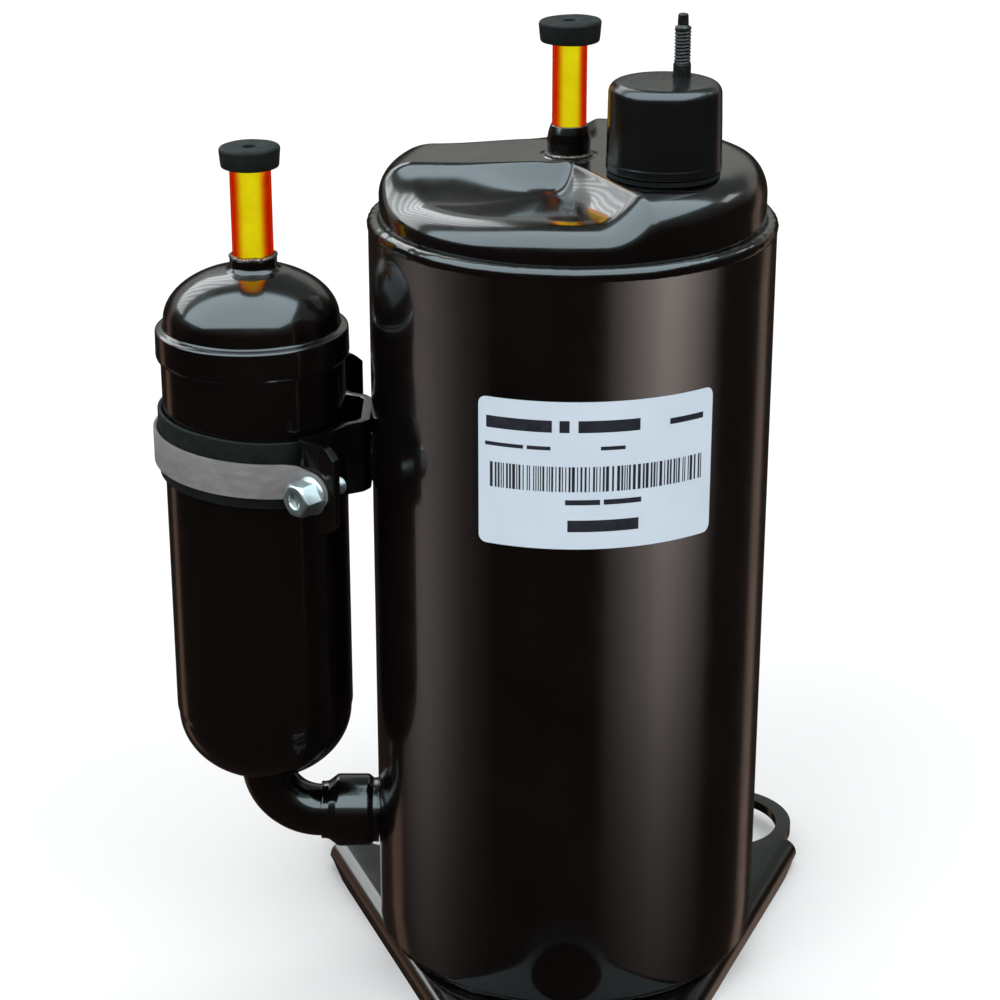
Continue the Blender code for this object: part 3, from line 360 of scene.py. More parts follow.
def ribbon(name, path, low, high, thickness, belly=0.0):
    """A strip of sheet on edge along a path; low(s) and high(s) give its edges at a distance s.

    belly makes the strip's middle stand out from its edges.
    """
    points = [Vector(p) for p in path]
    verts = []
    levels = (0.0, 0.15, 0.5, 0.85, 1.0) if belly else (0.0, 1.0)
    s = 0.0
    for i, here in enumerate(points):
        s += (here - points[i - 1]).length if i else 0.0
        into = (here - points[i - 1]).normalized() if i else (points[1] - here).normalized()
        away = (points[i + 1] - here).normalized() if i < len(points) - 1 else into
        normal = Vector((-(into + away).y, (into + away).x)).normalized()
        reach = 0.5 * thickness / max(normal.dot(Vector((-into.y, into.x))), 0.5)
        z0, z1 = low(s), high(s)
        for side in (1.0, -1.0):
            for t in levels if side > 0 else reversed(levels):
                bulge = belly * (1.0 - (2.0 * t - 1.0) ** 2) * (side < 0)
                spot = here + normal * side * (reach + bulge)
                verts.append((spot.x, spot.y, z0 + (z1 - z0) * t))
    ring = 2 * len(levels)
    faces = [(a + k, a + (k + 1) % ring, a + ring + (k + 1) % ring, a + ring + k)
             for a in range(0, (len(points) - 1) * ring, ring) for k in range(ring)]
    return as_object(name, verts, faces + skin(len(points), ring)[-2:])


def slab(name, loops, z0, z1):
    """A flat outline, with holes after the first loop, as a plate between two heights."""
    curve = bpy.data.curves.new(name, "CURVE")
    curve.dimensions = "2D"
    curve.fill_mode = "BOTH"
    curve.extrude = 0.5 * (z1 - z0) * MM
    for loop in loops:
        spline = curve.splines.new("POLY")
        spline.points.add(len(loop) - 1)
        for point, (x, y) in zip(spline.points, loop):
            point.co = (x * MM, y * MM, 0.0, 1.0)
        spline.use_cyclic_u = True
    source = put_in_scene(name + "_outline", curve)
    bpy.context.view_layer.update()
    mesh = bpy.data.meshes.new_from_object(source.evaluated_get(bpy.context.evaluated_depsgraph_get()))
    bpy.data.objects.remove(source, do_unlink=True)
    mesh.transform(Matrix.Translation((0.0, 0.0, 0.5 * (z0 + z1) * MM)))
    obj = put_in_scene(name, mesh)
    clean(obj)
    return obj


def threaded(name, levels, core, depth, pitch, z0, z1, at=(0, 0)):
    """A turned screw: profile levels (radius, height), with a helical thread cut between z0 and z1."""
    profile = stretch(levels, pitch / 8.0)

    def cut(x, y, z):
        dx, dy = x - at[0], y - at[1]
        r = math.hypot(dx, dy)
        if r < 0.8 * core or not z0 < z < z1:
            return x, y, z
        phase = (z / pitch - math.atan2(dy, dx) / TAU) % 1.0
        ridge = min(max(1.6 * (1.0 - abs(2.0 * phase - 1.0)) - 0.3, 0.0), 1.0)
        fade = min((z - z0) / pitch, (z1 - z) / pitch, 1.0)
        scale = (r - depth * (1.0 - ridge) * fade) / r
        return at[0] + dx * scale, at[1] + dy * scale, z

    return lathe(name, profile, COARSE, at=at, shape=cut, angle=60.0)


# --- materials -------------------------------------------------------------------------------
class Nodes:
    """Short ways to add the nodes of a tree; an input takes a number, a colour or another node's output."""

    def __init__(self, tree):
        self.tree = tree

    def put(self, socket, value):
        if isinstance(value, bpy.types.NodeSocket):
            self.tree.links.new(value, socket)
        else:
            socket.default_value = value

    def node(self, kind, inputs=None, **settings):
        made = self.tree.nodes.new("ShaderNode" + kind)
        for key, value in settings.items():
            setattr(made, key, value)
        for key, value in (inputs or {}).items():
            self.put(made.inputs[key], value)
        return made

    def math(self, operation, *values):
        return self.node("Math", dict(enumerate(values)), operation=operation).outputs["Value"]

    def vector(self, operation, *values):
        return self.node("VectorMath", dict(enumerate(values)), operation=operation)

    def spread(self, value, low, high, out_low=0.0, out_high=1.0, curve="SMOOTHSTEP"):
        """Map a value from one range to another, held within it."""
        inputs = {"Value": value, "From Min": low, "From Max": high, "To Min": out_low, "To Max": out_high}
        return self.node("MapRange", inputs, interpolation_type=curve).outputs["Result"]

    def ramp(self, value, stops, curve="LINEAR"):
        """A colour by a value, through (position, colour) stops."""
        made = self.node("ValToRGB", {"Fac": value})
        band = made.color_ramp
        band.interpolation = curve
        while len(band.elements) < len(stops):
            band.elements.new(0.5)
        for element, (position, colour) in zip(band.elements, stops):
            element.position = position
            element.color = (*colour, 1.0)
        return made.outputs["Color"]


class Surface(Nodes):
    """A Principled material whose colour, roughness and relief come from procedural nodes."""

    def __init__(self, name, metallic=0.0, coat=0.0, coat_roughness=0.03, specular=0.5, tint=None):
        self.material = bpy.data.materials.new(name)
        self.material.use_nodes = True
        super().__init__(self.material.node_tree)
        self.shader = self.tree.nodes["Principled BSDF"].inputs
        self.put(self.shader["Metallic"], metallic)
        self.put(self.shader["Coat Weight"], coat)
        self.put(self.shader["Coat Roughness"], coat_roughness)
        self.put(self.shader["Specular IOR Level"], specular)
        if tint:
            self.put(self.shader["Specular Tint"], (*tint, 1.0))
        self.place = self.node("TexCoord").outputs["Object"]
        self.relief = None

    def noise(self, size, detail=3.0, roughness=0.55, squash=(1.0, 1.0, 1.0)):
        """A noise value whose features are about that many millimetres."""
        where = self.node("Mapping", {"Scale": squash, "Vector": self.place}).outputs["Vector"]
        inputs = {"Scale": 1.0 / (size * MM), "Detail": detail, "Roughness": roughness, "Vector": where}
        return self.node("TexNoise", inputs).outputs["Fac"]

    def cells(self, size):
        return self.node("TexVoronoi", {"Scale": 1.0 / (size * MM), "Vector": self.place}).outputs["Distance"]

    def level_lines(self, pitch):
        inputs = {"Scale": LINES_PER_UNIT / (pitch * MM), "Distortion": 0.2, "Vector": self.place}
        return self.node("TexWave", inputs, bands_direction="Z").outputs["Fac"]

    def colour(self, paint):
        self.paint = paint
        self.put(self.shader["Base Color"], paint)

    def fleck(self, mask, colour):
        """Lay another colour over the surface where the mask is high."""
        inputs = {"Factor": mask, "A": self.paint, "B": (*colour, 1.0)}
        self.colour(self.node("Mix", inputs, data_type="RGBA").outputs["Result"])

    def rough(self, value, low, high):
        self.put(self.shader["Roughness"], self.spread(value, 0.3, 0.7, low, high))

    def bump(self, value, height):
        """Relief of that many millimetres, on top of any relief already there."""
        made = self.node("Bump", {"Distance": height * MM, "Height": value})
        if self.relief:
            self.put(made.inputs["Normal"], self.relief)
        self.relief = made.outputs["Normal"]
        self.put(self.shader["Normal"], self.relief)


MATERIALS = {}


def finish(name, grain, stops, rough, *bumps, fleck=None, **options):
    """A material: colour stops by a noise, perhaps a fleck, then its roughness and its relief.

    grain and each bump's first item are noise() arguments, or a function of the surface; rough is noise()
    arguments, then the lowest and highest roughness.
    """
    s = Surface(name, **options)
    s.colour(s.ramp(s.noise(*grain), stops))
    if fleck:
        s.fleck(fleck[0](s), fleck[1])
    s.rough(s.noise(*rough[0]), *rough[1:])
    for relief, height in bumps:
        s.bump(relief(s) if callable(relief) else s.noise(*relief), height)
    MATERIALS[name] = s.material
    return s.material


for frame_material in list(bpy.data.materials):
    bpy.data.materials.remove(frame_material)
# Gloss black enamel: a faint brown cast, orange peel, and a little settled dust.
finish("black_paint", (38.0, 4.0), ((0.3, (0.0018, 0.0014, 0.0013)), (0.75, (0.0042, 0.0028, 0.0022))),
       ((9.0, 5.0), 0.16, 0.24), ((2.6, 2.0, 0.4), 0.012), coat=0.5, coat_roughness=0.04, specular=0.32,
       fleck=(lambda s: s.spread(s.cells(5.5), 0.035, 0.0, 0.0, 0.1), (0.16, 0.15, 0.14)))
# Bright drawn copper: a red cast, fine lines along the tube and darker heat stains.
finish("copper", (7.0, 3.0), ((0.3, (0.60, 0.22, 0.0075)), (0.75, (0.66, 0.26, 0.012))),
       ((4.0, 4.0), 0.16, 0.26), ((0.5, 2.0, 0.5, (1.0, 1.0, 0.06)), 0.004),
       metallic=1.0, tint=(1.0, 0.25, 0.06))
# Brazing filler: silvery and coppery grains, dulled.
finish("braze", (0.55, 3.0, 0.7),
       ((0.4, (0.02, 0.013, 0.01)), (0.5, (0.09, 0.06, 0.045)), (0.64, (0.24, 0.22, 0.2))),
       ((0.6,), 0.3, 0.6), ((0.6, 3.0), 0.16), metallic=1.0)
# Moulded rubber: matt grey-green black, with a fine grain.
finish("plug_rubber", (5.0, 4.0), ((0.3, (0.0045, 0.0055, 0.005)), (0.8, (0.0095, 0.012, 0.011))),
       ((3.0,), 0.5, 0.68), ((0.35, 2.0), 0.03), ((3.0, 2.0), 0.05), specular=0.14)
# Satin black moulding with a fine spark-eroded grain.
finish("cover_plastic", (11.0, 3.0), ((0.3, (0.0028, 0.003, 0.0032)), (0.8, (0.0055, 0.006, 0.0065))),
       ((6.0, 4.0), 0.2, 0.27), ((0.4, 2.0), 0.006), ((9.0, 1.0), 0.1), specular=0.55,
       fleck=(lambda s: s.spread(s.cells(3.6), 0.03, 0.0, 0.0, 0.25), (0.13, 0.13, 0.13)))
# Blackened steel, worn paler on its crests.
finish("black_stud", (1.1, 4.0, 0.65), ((0.4, (0.012, 0.012, 0.012)), (0.72, (0.05, 0.048, 0.045))),
       ((1.5,), 0.3, 0.5), ((0.3, 3.0), 0.02), metallic=0.7)
# Bright zinc plate: cool silver with cloudy passivation.
finish("zinc", (2.4, 4.0), ((0.3, (0.50, 0.54, 0.54)), (0.55, (0.60, 0.63, 0.62)), (0.8, (0.66, 0.66, 0.63))),
       ((1.2, 4.0), 0.36, 0.46), ((0.5, 3.0), 0.02), metallic=1.0)
# Dull grey strip: a matt coating with a faint rolled grain and small scuffs.
finish("band_steel", (6.0, 4.0, 0.6, (1.0, 1.0, 2.5)),
       ((0.3, (0.155, 0.147, 0.147)), (0.75, (0.235, 0.222, 0.222))),
       ((4.0, 3.0), 0.45, 0.6), ((0.9, 3.0, 0.6, (1.0, 1.0, 6.0)), 0.02), metallic=0.15, specular=0.4,
       fleck=(lambda s: s.spread(s.noise(2.2, 6.0, 0.7, (1.0, 1.0, 3.0)), 0.64, 0.72, 0.0, 0.5),
              (0.33, 0.32, 0.31)))
# Satin film: a cool white with the faintest mottling, and the ink on it.
finish("label_paper", (14.0, 3.0), ((0.3, (0.50, 0.58, 0.66)), (0.75, (0.54, 0.62, 0.70))),
       ((5.0,), 0.35, 0.5), ((1.2, 3.0), 0.006), specular=0.4)
finish("label_ink", (2.0, 3.0), ((0.3, (0.009, 0.010, 0.018)), (0.8, (0.022, 0.023, 0.034))),
       ((3.0,), 0.4, 0.55), ((0.4, 2.0), 0.002), specular=0.4)
# Ground steel: fine turned lines and a few darker patches; then the terminal's duller steel.
finish("machined_steel", (5.0, 4.0), ((0.3, (0.36, 0.36, 0.37)), (0.8, (0.52, 0.52, 0.53))),
       ((2.5, 4.0), 0.2, 0.38), ((0.5, 2.0, 0.5, (0.15, 0.15, 4.0)), 0.01), metallic=1.0)
finish("terminal_steel", (3.0, 4.0), ((0.3, (0.2, 0.2, 0.22)), (0.8, (0.36, 0.36, 0.38))),
       ((2.0,), 0.28, 0.5), ((0.7, 3.0), 0.02), metallic=0.9)
# A stack of stamped sheets: fine level lines, blued in places.
finish("core_iron", (12.0, 4.0), ((0.3, (0.10, 0.10, 0.12)), (0.75, (0.2, 0.2, 0.21))),
       ((4.0,), 0.35, 0.55), (lambda s: s.level_lines(0.5), 0.05), metallic=0.85)
# Machined grey iron: open grain with dark graphite flecks.
finish("cast_iron", (1.3, 5.0, 0.65), ((0.35, (0.10, 0.10, 0.105)), (0.7, (0.23, 0.23, 0.235))),
       ((2.0, 4.0), 0.35, 0.55), ((0.8, 4.0), 0.04), metallic=0.8)
# Varnished winding wire, in turns that run round the stator.
finish("enamelled_copper", (9.0, 4.0), ((0.3, (0.36, 0.10, 0.03)), (0.75, (0.52, 0.19, 0.06))),
       ((3.0,), 0.3, 0.45), ((1.6, 2.0, 0.4, (0.3, 0.3, 2.0)), 0.5), metallic=0.6, coat=0.6)
finish("cast_aluminium", (4.0, 4.0), ((0.3, (0.5, 0.5, 0.52)), (0.75, (0.66, 0.66, 0.67))),
       ((2.0, 4.0), 0.34, 0.5), ((1.0, 4.0), 0.04), metallic=1.0)
finish("brass", (5.0, 4.0), ((0.3, (0.52, 0.37, 0.13)), (0.75, (0.66, 0.5, 0.2))),
       ((3.0,), 0.22, 0.36), ((0.6, 2.0, 0.5, (0.2, 0.2, 3.0)), 0.01), metallic=1.0)
finish("connector_nylon", (5.0, 3.0), ((0.3, (0.66, 0.62, 0.5)), (0.8, (0.76, 0.73, 0.62))),
       ((3.0,), 0.4, 0.55), ((0.5, 2.0), 0.02), specular=0.45)
# Woven insulating sleeve on the motor's leads.
finish("lead_sleeve", (0.7, 3.0), ((0.3, (0.42, 0.39, 0.3)), (0.75, (0.66, 0.63, 0.54))),
       ((1.0,), 0.6, 0.8), (lambda s: s.cells(0.5), 0.15), specular=0.3)
SLOTS = {entry["node"]: entry["material_slot"] for entry in frame["record"]["subparts"]}
for node_name, node_object in frame["nodes"].items():
    node_object.data.materials.clear()
    node_object.data.materials.append(MATERIALS[SLOTS[node_name]])


def fit(obj, slot, *nodes, body=ROOT):
    """Finish a piece: its material, the body that it rides on and the CAD nodes that it stands for."""
    obj.data.materials.clear()
    obj.data.materials.append(MATERIALS[slot])
    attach(obj, body)
    if nodes:
        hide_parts(*nodes)
    return obj


# --- shell and caps --------------------------------------------------------------------------
def make_shell():
    bore = SHELL_R - SHELL_WALL
    outer = [(SHELL_R, SHELL_TOP, 0.6), (SHELL_R, SHELL_BOTTOM, 0.9)]
    inner = [(bore, SHELL_BOTTOM, 0.3), (bore, SHELL_TOP, 0.3)]
    profile = stretch(rounded(outer + inner, True, 4), 12.0)
    shell = lathe("shell_tube", profile, FINE, True)
    port_r = OUTLET_R + 0.35
    port = lathe("port_cutter", [(0, 70.0), (port_r, 70.0), (port_r, 40.0), (0, 40.0)], COARSE)
    aim(port, (0, 0, INLET_Z), (-1, 0, 0))
    combine(shell, [port], "DIFFERENCE")
    return fit(shell, "black_paint", "main_shell")


def steep(t, nose=0.0):
    """A rise from 0 to 1 that starts at once, round a small nose, and ends level."""
    if abs(t) < nose:
        return (t + nose) ** 2 / (2.0 * nose) * (1.0 - 0.5 * nose)
    t = min(max(t, 0.0), 1.0)
    return t * (2.0 - t)


def step_depth(x, y):
    """How far the crown of the top cap lies below its plateau at a point."""
    edge_y = STEP_EDGE_Y - STEP_EDGE_SKEW * smoothstep((x + 45.0) / 40.0)
    back = (edge_y - y) / (STEP_WIDTH + STEP_WIDEN * smoothstep((-x - 4.0) / 30.0))
    side = STEP_SIDE.dot(Vector((x, y)) - STEP_CORNER)
    side /= STEP_SIDE_WIDTH + STEP_SIDE_WIDEN * smoothstep((-y - 10.0) / 25.0)
    overlap = max(STEP_BLEND - abs(back - side), 0.0) / STEP_BLEND
    recess = steep(min(back, side) - overlap * overlap * STEP_BLEND / 4.0, STEP_NOSE)
    dish = 1.0 - smoothstep(math.hypot((x + 10.0) / 32.0, (y + 23.0) / 19.0))
    rear = smoothstep((y - REAR_EDGE_Y) / REAR_WIDTH) * steep((REAR_SIDE_X - x) / REAR_WIDTH, STEP_NOSE)
    boss = 1.0 - smoothstep((math.hypot(x - DISCHARGE_AT[0], y - DISCHARGE_AT[1]) - 6.3) / 2.2)
    slope = LEFT_FALL * smoothstep((-x - 8.0) / 30.0) - RIGHT_RISE * smoothstep((x - 42.0) / 10.0)
    return STEP_DROP * recess * (1.0 - boss) + DISH * dish * recess + REAR_DROP * rear + slope - BOSS * boss


def make_top_cap():
    crown = CAP_R - CAP_SHOULDER
    z_side = PLATEAU_Z - CAP_SHOULDER
    foot = CAP_LOW.z
    low = SHELL_TOP - 2.0
    outer = [(crown * k / 72.0, PLATEAU_Z) for k in range(72)]
    outer += arc((crown, z_side), CAP_SHOULDER, 90.0, 0.0, 22)
    outer += [(CAP_R, SHELL_TOP), (CAP_R, foot)]
    inner = [(CAP_R - CAP_WALL, foot), (CAP_R - CAP_WALL, z_side)]
    inner += arc((crown, z_side), CAP_SHOULDER - CAP_WALL, 0.0, 90.0, 8)[1:]
    inner += [(crown * k / 16.0, PLATEAU_Z - CAP_WALL) for k in range(15, -1, -1)]

    def press(x, y, z):
        height = min(max((z - low) / (PLATEAU_Z - low), 0.0), 1.0)
        return x, y, z - step_depth(x, y) * height

    cap = lathe("pressed_top_cap", outer + inner, FINE, shape=press, angle=60.0)
    fit(cap, "black_paint", "top_cap")


BEAD_SIDES = 14


def bead(name, radius, z, wide, high, ripple, seed, slot="black_paint", at=(0, 0), nodes=(), steps=FINE):
    """A weld run round a joint: a half-round section that swells and dips along the seam."""
    section = [(wide * math.cos(TAU * k / BEAD_SIDES), high * math.sin(TAU * k / BEAD_SIDES))
               for k in range(BEAD_SIDES)]
    verts = []
    for i in range(steps):
        a = TAU * i / steps
        c, s = math.cos(a), math.sin(a)
        swell = 1.0 + ripple * wobble(radius * c, radius * s, 0.0, 2.2, seed)
        lift = 0.5 * ripple * high * wobble(radius * c, radius * s, 9.0, 3.5, seed)
        for dr, dz in section:
            r = radius + dr * swell
            verts.append((at[0] + r * c, at[1] + r * s, z + dz * swell + lift))
    return fit(as_object(name, verts, skin(steps, BEAD_SIDES, True), 60.0), slot, *nodes)


def make_seams():
    bead("top_seam", SHELL_R - 1.9, SHELL_TOP + 0.3, 2.2, 2.3, 0.07, 3.0, nodes=("top_weld_ring",))
    bead("bottom_seam", SHELL_R - 2.2, SHELL_BOTTOM - 0.4, 1.8, 1.3, 0.25, 11.0, nodes=("bottom_weld_ring",))
    bead("foot_seam_back", 41.6, PLATE_TOP + 0.35, 1.3, 0.9, 0.3, 5.0)


def make_bottom_cap():
    low, high = span("bottom_cap")
    flat_z = PLATE_TOP + GAP
    fold = 6.0
    dish_r = 34.0
    wall = 3.0
    outer = [(CAP_R, high.z, 0.4), (CAP_R, flat_z, fold)]
    outer += [(39.0, flat_z, 1.2), (dish_r + 1.5, low.z, 1.6), (0, low.z)]
    inner = [(0, wall), (dish_r - 1.0, wall, 1.6), (37.5, flat_z + wall, 1.2)]
    inner += [(CAP_R - wall, flat_z + wall, fold - wall), (CAP_R - wall, high.z, 0.4)]
    profile = rounded(inner + outer, False, 5)
    fit(lathe("bottom_dish", stretch(profile, 8.0), MEDIUM), "black_paint", "bottom_cap")


# --- base plate ------------------------------------------------------------------------------
def foot_centres():
    centres = []
    for mount in frame["record"]["mounts"]:
        if mount["name"].startswith("foot_") and mount["name"].endswith("_top"):
            spot = Vector(mount["pos_m"][:2]) / MM
            centres.append(spot - spot.normalized() * FOOT_MOUNT_REACH)
    return sorted(centres, key=lambda c: math.atan2(c.y, c.x) % TAU)


def flange(name, centre, run):
    """The turned-down edge along one side, whose wall grows from nothing at each end."""
    along = run.normalized()
    out = Vector((along.y, -along.x))
    start, length = 5.0, run.length - 10.0
    full = PLATE_TOP - FLANGE_BEND
    stations = [0.0, 0.7, 1.5, 3.0, 5.0, 8.0, 12.0, 17.0]
    stations = stations + [length - s for s in reversed(stations)]
    verts = []
    for s in stations:
        grown = smoothstep(min(s, length - s) / 15.0)
        depth = 0.35 + (full - 0.35) * grown
        bend = arc((0.0, -FLANGE_BEND), FLANGE_BEND, 90.0, 0.0, 8)
        edge = -FLANGE_BEND - depth
        section = [(-4.0, -1.0), (-0.6, -0.4)] + bend + [(FLANGE_BEND, edge), (FLANGE_BEND - PLATE_T, edge)]
        section += arc((0.0, -FLANGE_BEND), FLANGE_BEND - PLATE_T, 0.0, 90.0, 5)
        section += [(-0.6, 0.4 - PLATE_T), (-4.0, 1.0 - PLATE_T)]
        base = centre + along * (start + s) + out * FOOT_R
        verts += [(base.x + out.x * u, base.y + out.y * u, PLATE_TOP + w) for u, w in section]
    return as_object(name, verts, skin(len(stations), len(verts) // len(stations)))


def make_base_plate():
    centres = foot_centres()
    outline = []
    for i, centre in enumerate(centres):
        before = centre - centres[i - 1]
        after = centres[(i + 1) % 3] - centre
        start = math.degrees(math.atan2(before.y, before.x)) - 90.0
        turn = (math.degrees(math.atan2(after.y, after.x)) - 90.0 - start) % 360.0
        outline += arc(centre, FOOT_R, start, start + turn, 28)
    holes = [arc(centre, FOOT_HOLE_R, 0.0, 354.0, 59) for centre in centres]
    holes.append(arc((0, 0), 40.4, 0.0, 356.0, 89))
    plate = slab("foot_plate", [outline] + holes, PLATE_TOP - PLATE_T, PLATE_TOP)
    flanges = [flange(f"side_{i}", c, centres[(i + 1) % 3] - c) for i, c in enumerate(centres)]
    combine(plate, flanges, "UNION")
    fit(soften(plate, 0.55, 2, 50.0), "black_paint", "base_plate")


def make_tack_welds():
    """Short runs of weld between the shell's edge and the foot plate."""
    for i, middle in enumerate((8.0, 172.0, 238.0, 302.0)):
        path = arc((0, 0), 54.6, middle - 7.0, middle + 7.0, 26)
        points = [(x, y, PLATE_TOP + 0.9 + 0.3 * wobble(x, y, 0.0, 2.0, i)) for x, y in path]
        size = [math.sin(math.pi * min(max((k + 1) / 28.0, 0.0), 1.0)) ** 0.35 for k in range(27)]
        weld = upright_sweep(f"tack_weld_{i + 1}", points, [1.5 * s for s in size])
        fit(weld, "black_paint")


def upright_sweep(name, points, radii, sides=14):
    """A bar along a level path, whose radius varies from point to point."""
    verts = []
    spots = [Vector(p) for p in points]
    up = Vector((0, 0, 1))
    for i, spot in enumerate(spots):
        along = spots[min(i + 1, len(spots) - 1)] - spots[max(i - 1, 0)]
        side = along.cross(up).normalized()
        swell = radii[i] * (1.0 + 0.14 * wobble(spot.x, spot.y, 4.0, 1.6))
        for k in range(sides):
            a = TAU * k / sides
            verts.append(tuple(spot + side * (swell * math.cos(a)) + up * (0.7 * swell * math.sin(a))))
    return as_object(name, verts, skin(len(spots), sides), 60.0)


# --- discharge fittings and terminal ---------------------------------------------------------
def copper_pipe(name, node, radius, wall):
    """A stub of copper tube in the place of a CAD node."""
    low, high = (corner.z for corner in span(node))
    bore = radius - wall
    profile = rounded([(radius, high, 0.3), (radius, low, 0.2), (bore, low, 0.2), (bore, high, 0.3)], True, 3)
    pipe = lathe(name, stretch(profile + profile[:1], 3.0)[:-1], MEDIUM, True, axis_of(node))
    return fit(pipe, "copper", node)


def make_discharge():
    seat = PLATEAU_Z + BOSS
    inner = TUBE_R + 0.05
    outer = [(inner, COLLAR_TOP), (5.1, COLLAR_TOP - 0.1, 0.4), (5.75, COLLAR_TOP - 2.2, 2.0)]
    outer += [(6.1, COLLAR_TOP - 4.4, 2.0), (5.95, seat + 0.8, 0.8), (5.9, seat - 0.4), (inner, seat - 0.4)]
    collar = lathe("discharge_socket", rounded(outer, True, 5), MEDIUM, True, DISCHARGE_AT)
    fit(collar, "black_paint", "discharge_collar")
    bead("discharge_seam", 6.15, seat + 0.1, 0.75, 0.5, 0.35, 21.0, "braze", DISCHARGE_AT, steps=MEDIUM)
    return copper_pipe("discharge_pipe", "discharge_tube", TUBE_R, 0.8)


def make_plug(name, node, body, lean):
    """A rubber stopper: a thick head with a sink hole and a stem in the tube."""
    low, high = span(node)
    x, y = axis_of(node)
    tube_top = (TUBE_HIGH if node == "discharge_plug" else SUCTION_HIGH).z
    bore = (TUBE_R if node == "discharge_plug" else SUCTION_R) - 1.25
    rim = 0.5 * (high.x - low.x)
    top, seat = high.z, tube_top + 0.05
    profile = [(0, top - 2.8), (1.6, top - 2.8, 0.5), (1.75, top - 0.1, 0.35), (rim - 0.05, top, 0.9)]
    profile += [(rim - 0.6, seat, 0.6), (bore + 0.35, seat - 0.05, 0.2), (bore, seat - 0.6, 0.2)]
    profile += [(bore - 0.3, low.z, 0.6), (0, low.z)]

    def tilt(px, py, pz):
        sag = lean * (px - x) / rim
        fade = smoothstep((pz - seat) / 3.0)
        return px, py, pz - (abs(lean) + sag) * 0.5 * fade + 0.08 * wobble(px, py, pz, 5.0, lean)

    fit(lathe(name, stretch(rounded(profile, False, 5), 1.6), MEDIUM, at=(x, y), shape=tilt, angle=50.0),
        "plug_rubber", node, body=body)


def make_terminal_cover():
    """A push-on cap, drawn in slightly towards the top, with a sealing lip at its foot."""
    x, y = COVER_AT
    bottom, top = COVER_LOW.z, COVER_HIGH.z
    wall = 2.0
    high_r = COVER_R - 0.45
    outer = [(0, top), (high_r, top - 0.15, 3.0), (COVER_R - 0.1, bottom + 2.6, 0.5)]
    outer += [(COVER_R, bottom + 2.3, 0.3), (COVER_R, bottom, 0.6)]
    inner = [(COVER_R - wall, bottom, 0.3), (high_r - wall, top - wall, 1.5), (0, top - wall)]
    profile = stretch(rounded(outer + inner, False, 7), 3.0)

    def soften_form(px, py, pz):
        push = 0.12 * wobble(px, py, pz, 12.0, 2.0)
        dx, dy = px - x, py - y
        r = max(math.hypot(dx, dy), 0.001)
        inward = min(push, 0.0) * smoothstep(r / COVER_R)
        return px + dx / r * inward, py + dy / r * inward, pz

    cover = lathe("terminal_cap", profile, MEDIUM, at=COVER_AT, shape=soften_form, angle=50.0)
    stud_hole = [(0, top + 4.0), (2.7, top + 4.0), (2.7, top - 6.0), (0, top - 6.0)]
    combine(cover, [lathe("stud_cutter", stud_hole, COARSE, at=STUD_AT)], "DIFFERENCE")
    fit(cover, "cover_plastic", "terminal_cover", body="cover")
    for i, (dx, dy, size) in enumerate(((-9.2, -2.0, 0.55), (-6.4, -2.6, 0.45), (-0.6, 2.2, 0.7))):
        mark = [(0, top + 0.0), (size, top - 0.02, 0.1), (size + 0.1, top - 0.5), (0, top - 0.5)]
        mark = lathe(f"mould_mark_{i + 1}", rounded(mark, False, 3), 24, at=(x + dx, y + dy))
        fit(mark, "black_stud", body="cover")


def make_stud():
    low, top = STUD_LOW.z, STUD_HIGH.z
    shank_top = COVER_HIGH.z + 3.4
    levels = rounded([(0, top - 0.6), (1.35, top - 0.6, 0.5), (1.5, top - 3.2, 0.3), (1.4, top - 3.6, 0.2),
                      (2.25, top - 4.3, 0.2), (2.25, shank_top, 0.2), (2.4, shank_top - 0.5, 0.2), (2.4, low),
                      (0, low)], False, 3)
    stud = threaded("threaded_stud", levels, 2.1, 0.34, 0.9, shank_top - 0.1, top - 4.3, at=STUD_AT)
    fit(stud, "black_stud", "cover_stud")


# --- accumulator -----------------------------------------------------------------------------
def elbow_path(top, end_x):
    """Down the accumulator's axis, round the bend and along to the shell."""
    bend_z = INLET_Z + ELBOW_R
    path = [(ACC_X, 0.0, z) for z in (top, 0.5 * (top + bend_z), bend_z + 6.0)]
    for i in range(25):
        a = 0.25 * TAU * i / 24
        path.append((ACC_X + ELBOW_R * (1 - math.cos(a)), 0.0, bend_z - ELBOW_R * math.sin(a)))
    return path + [(end_x - 20.0, 0.0, INLET_Z), (end_x, 0.0, INLET_Z)]


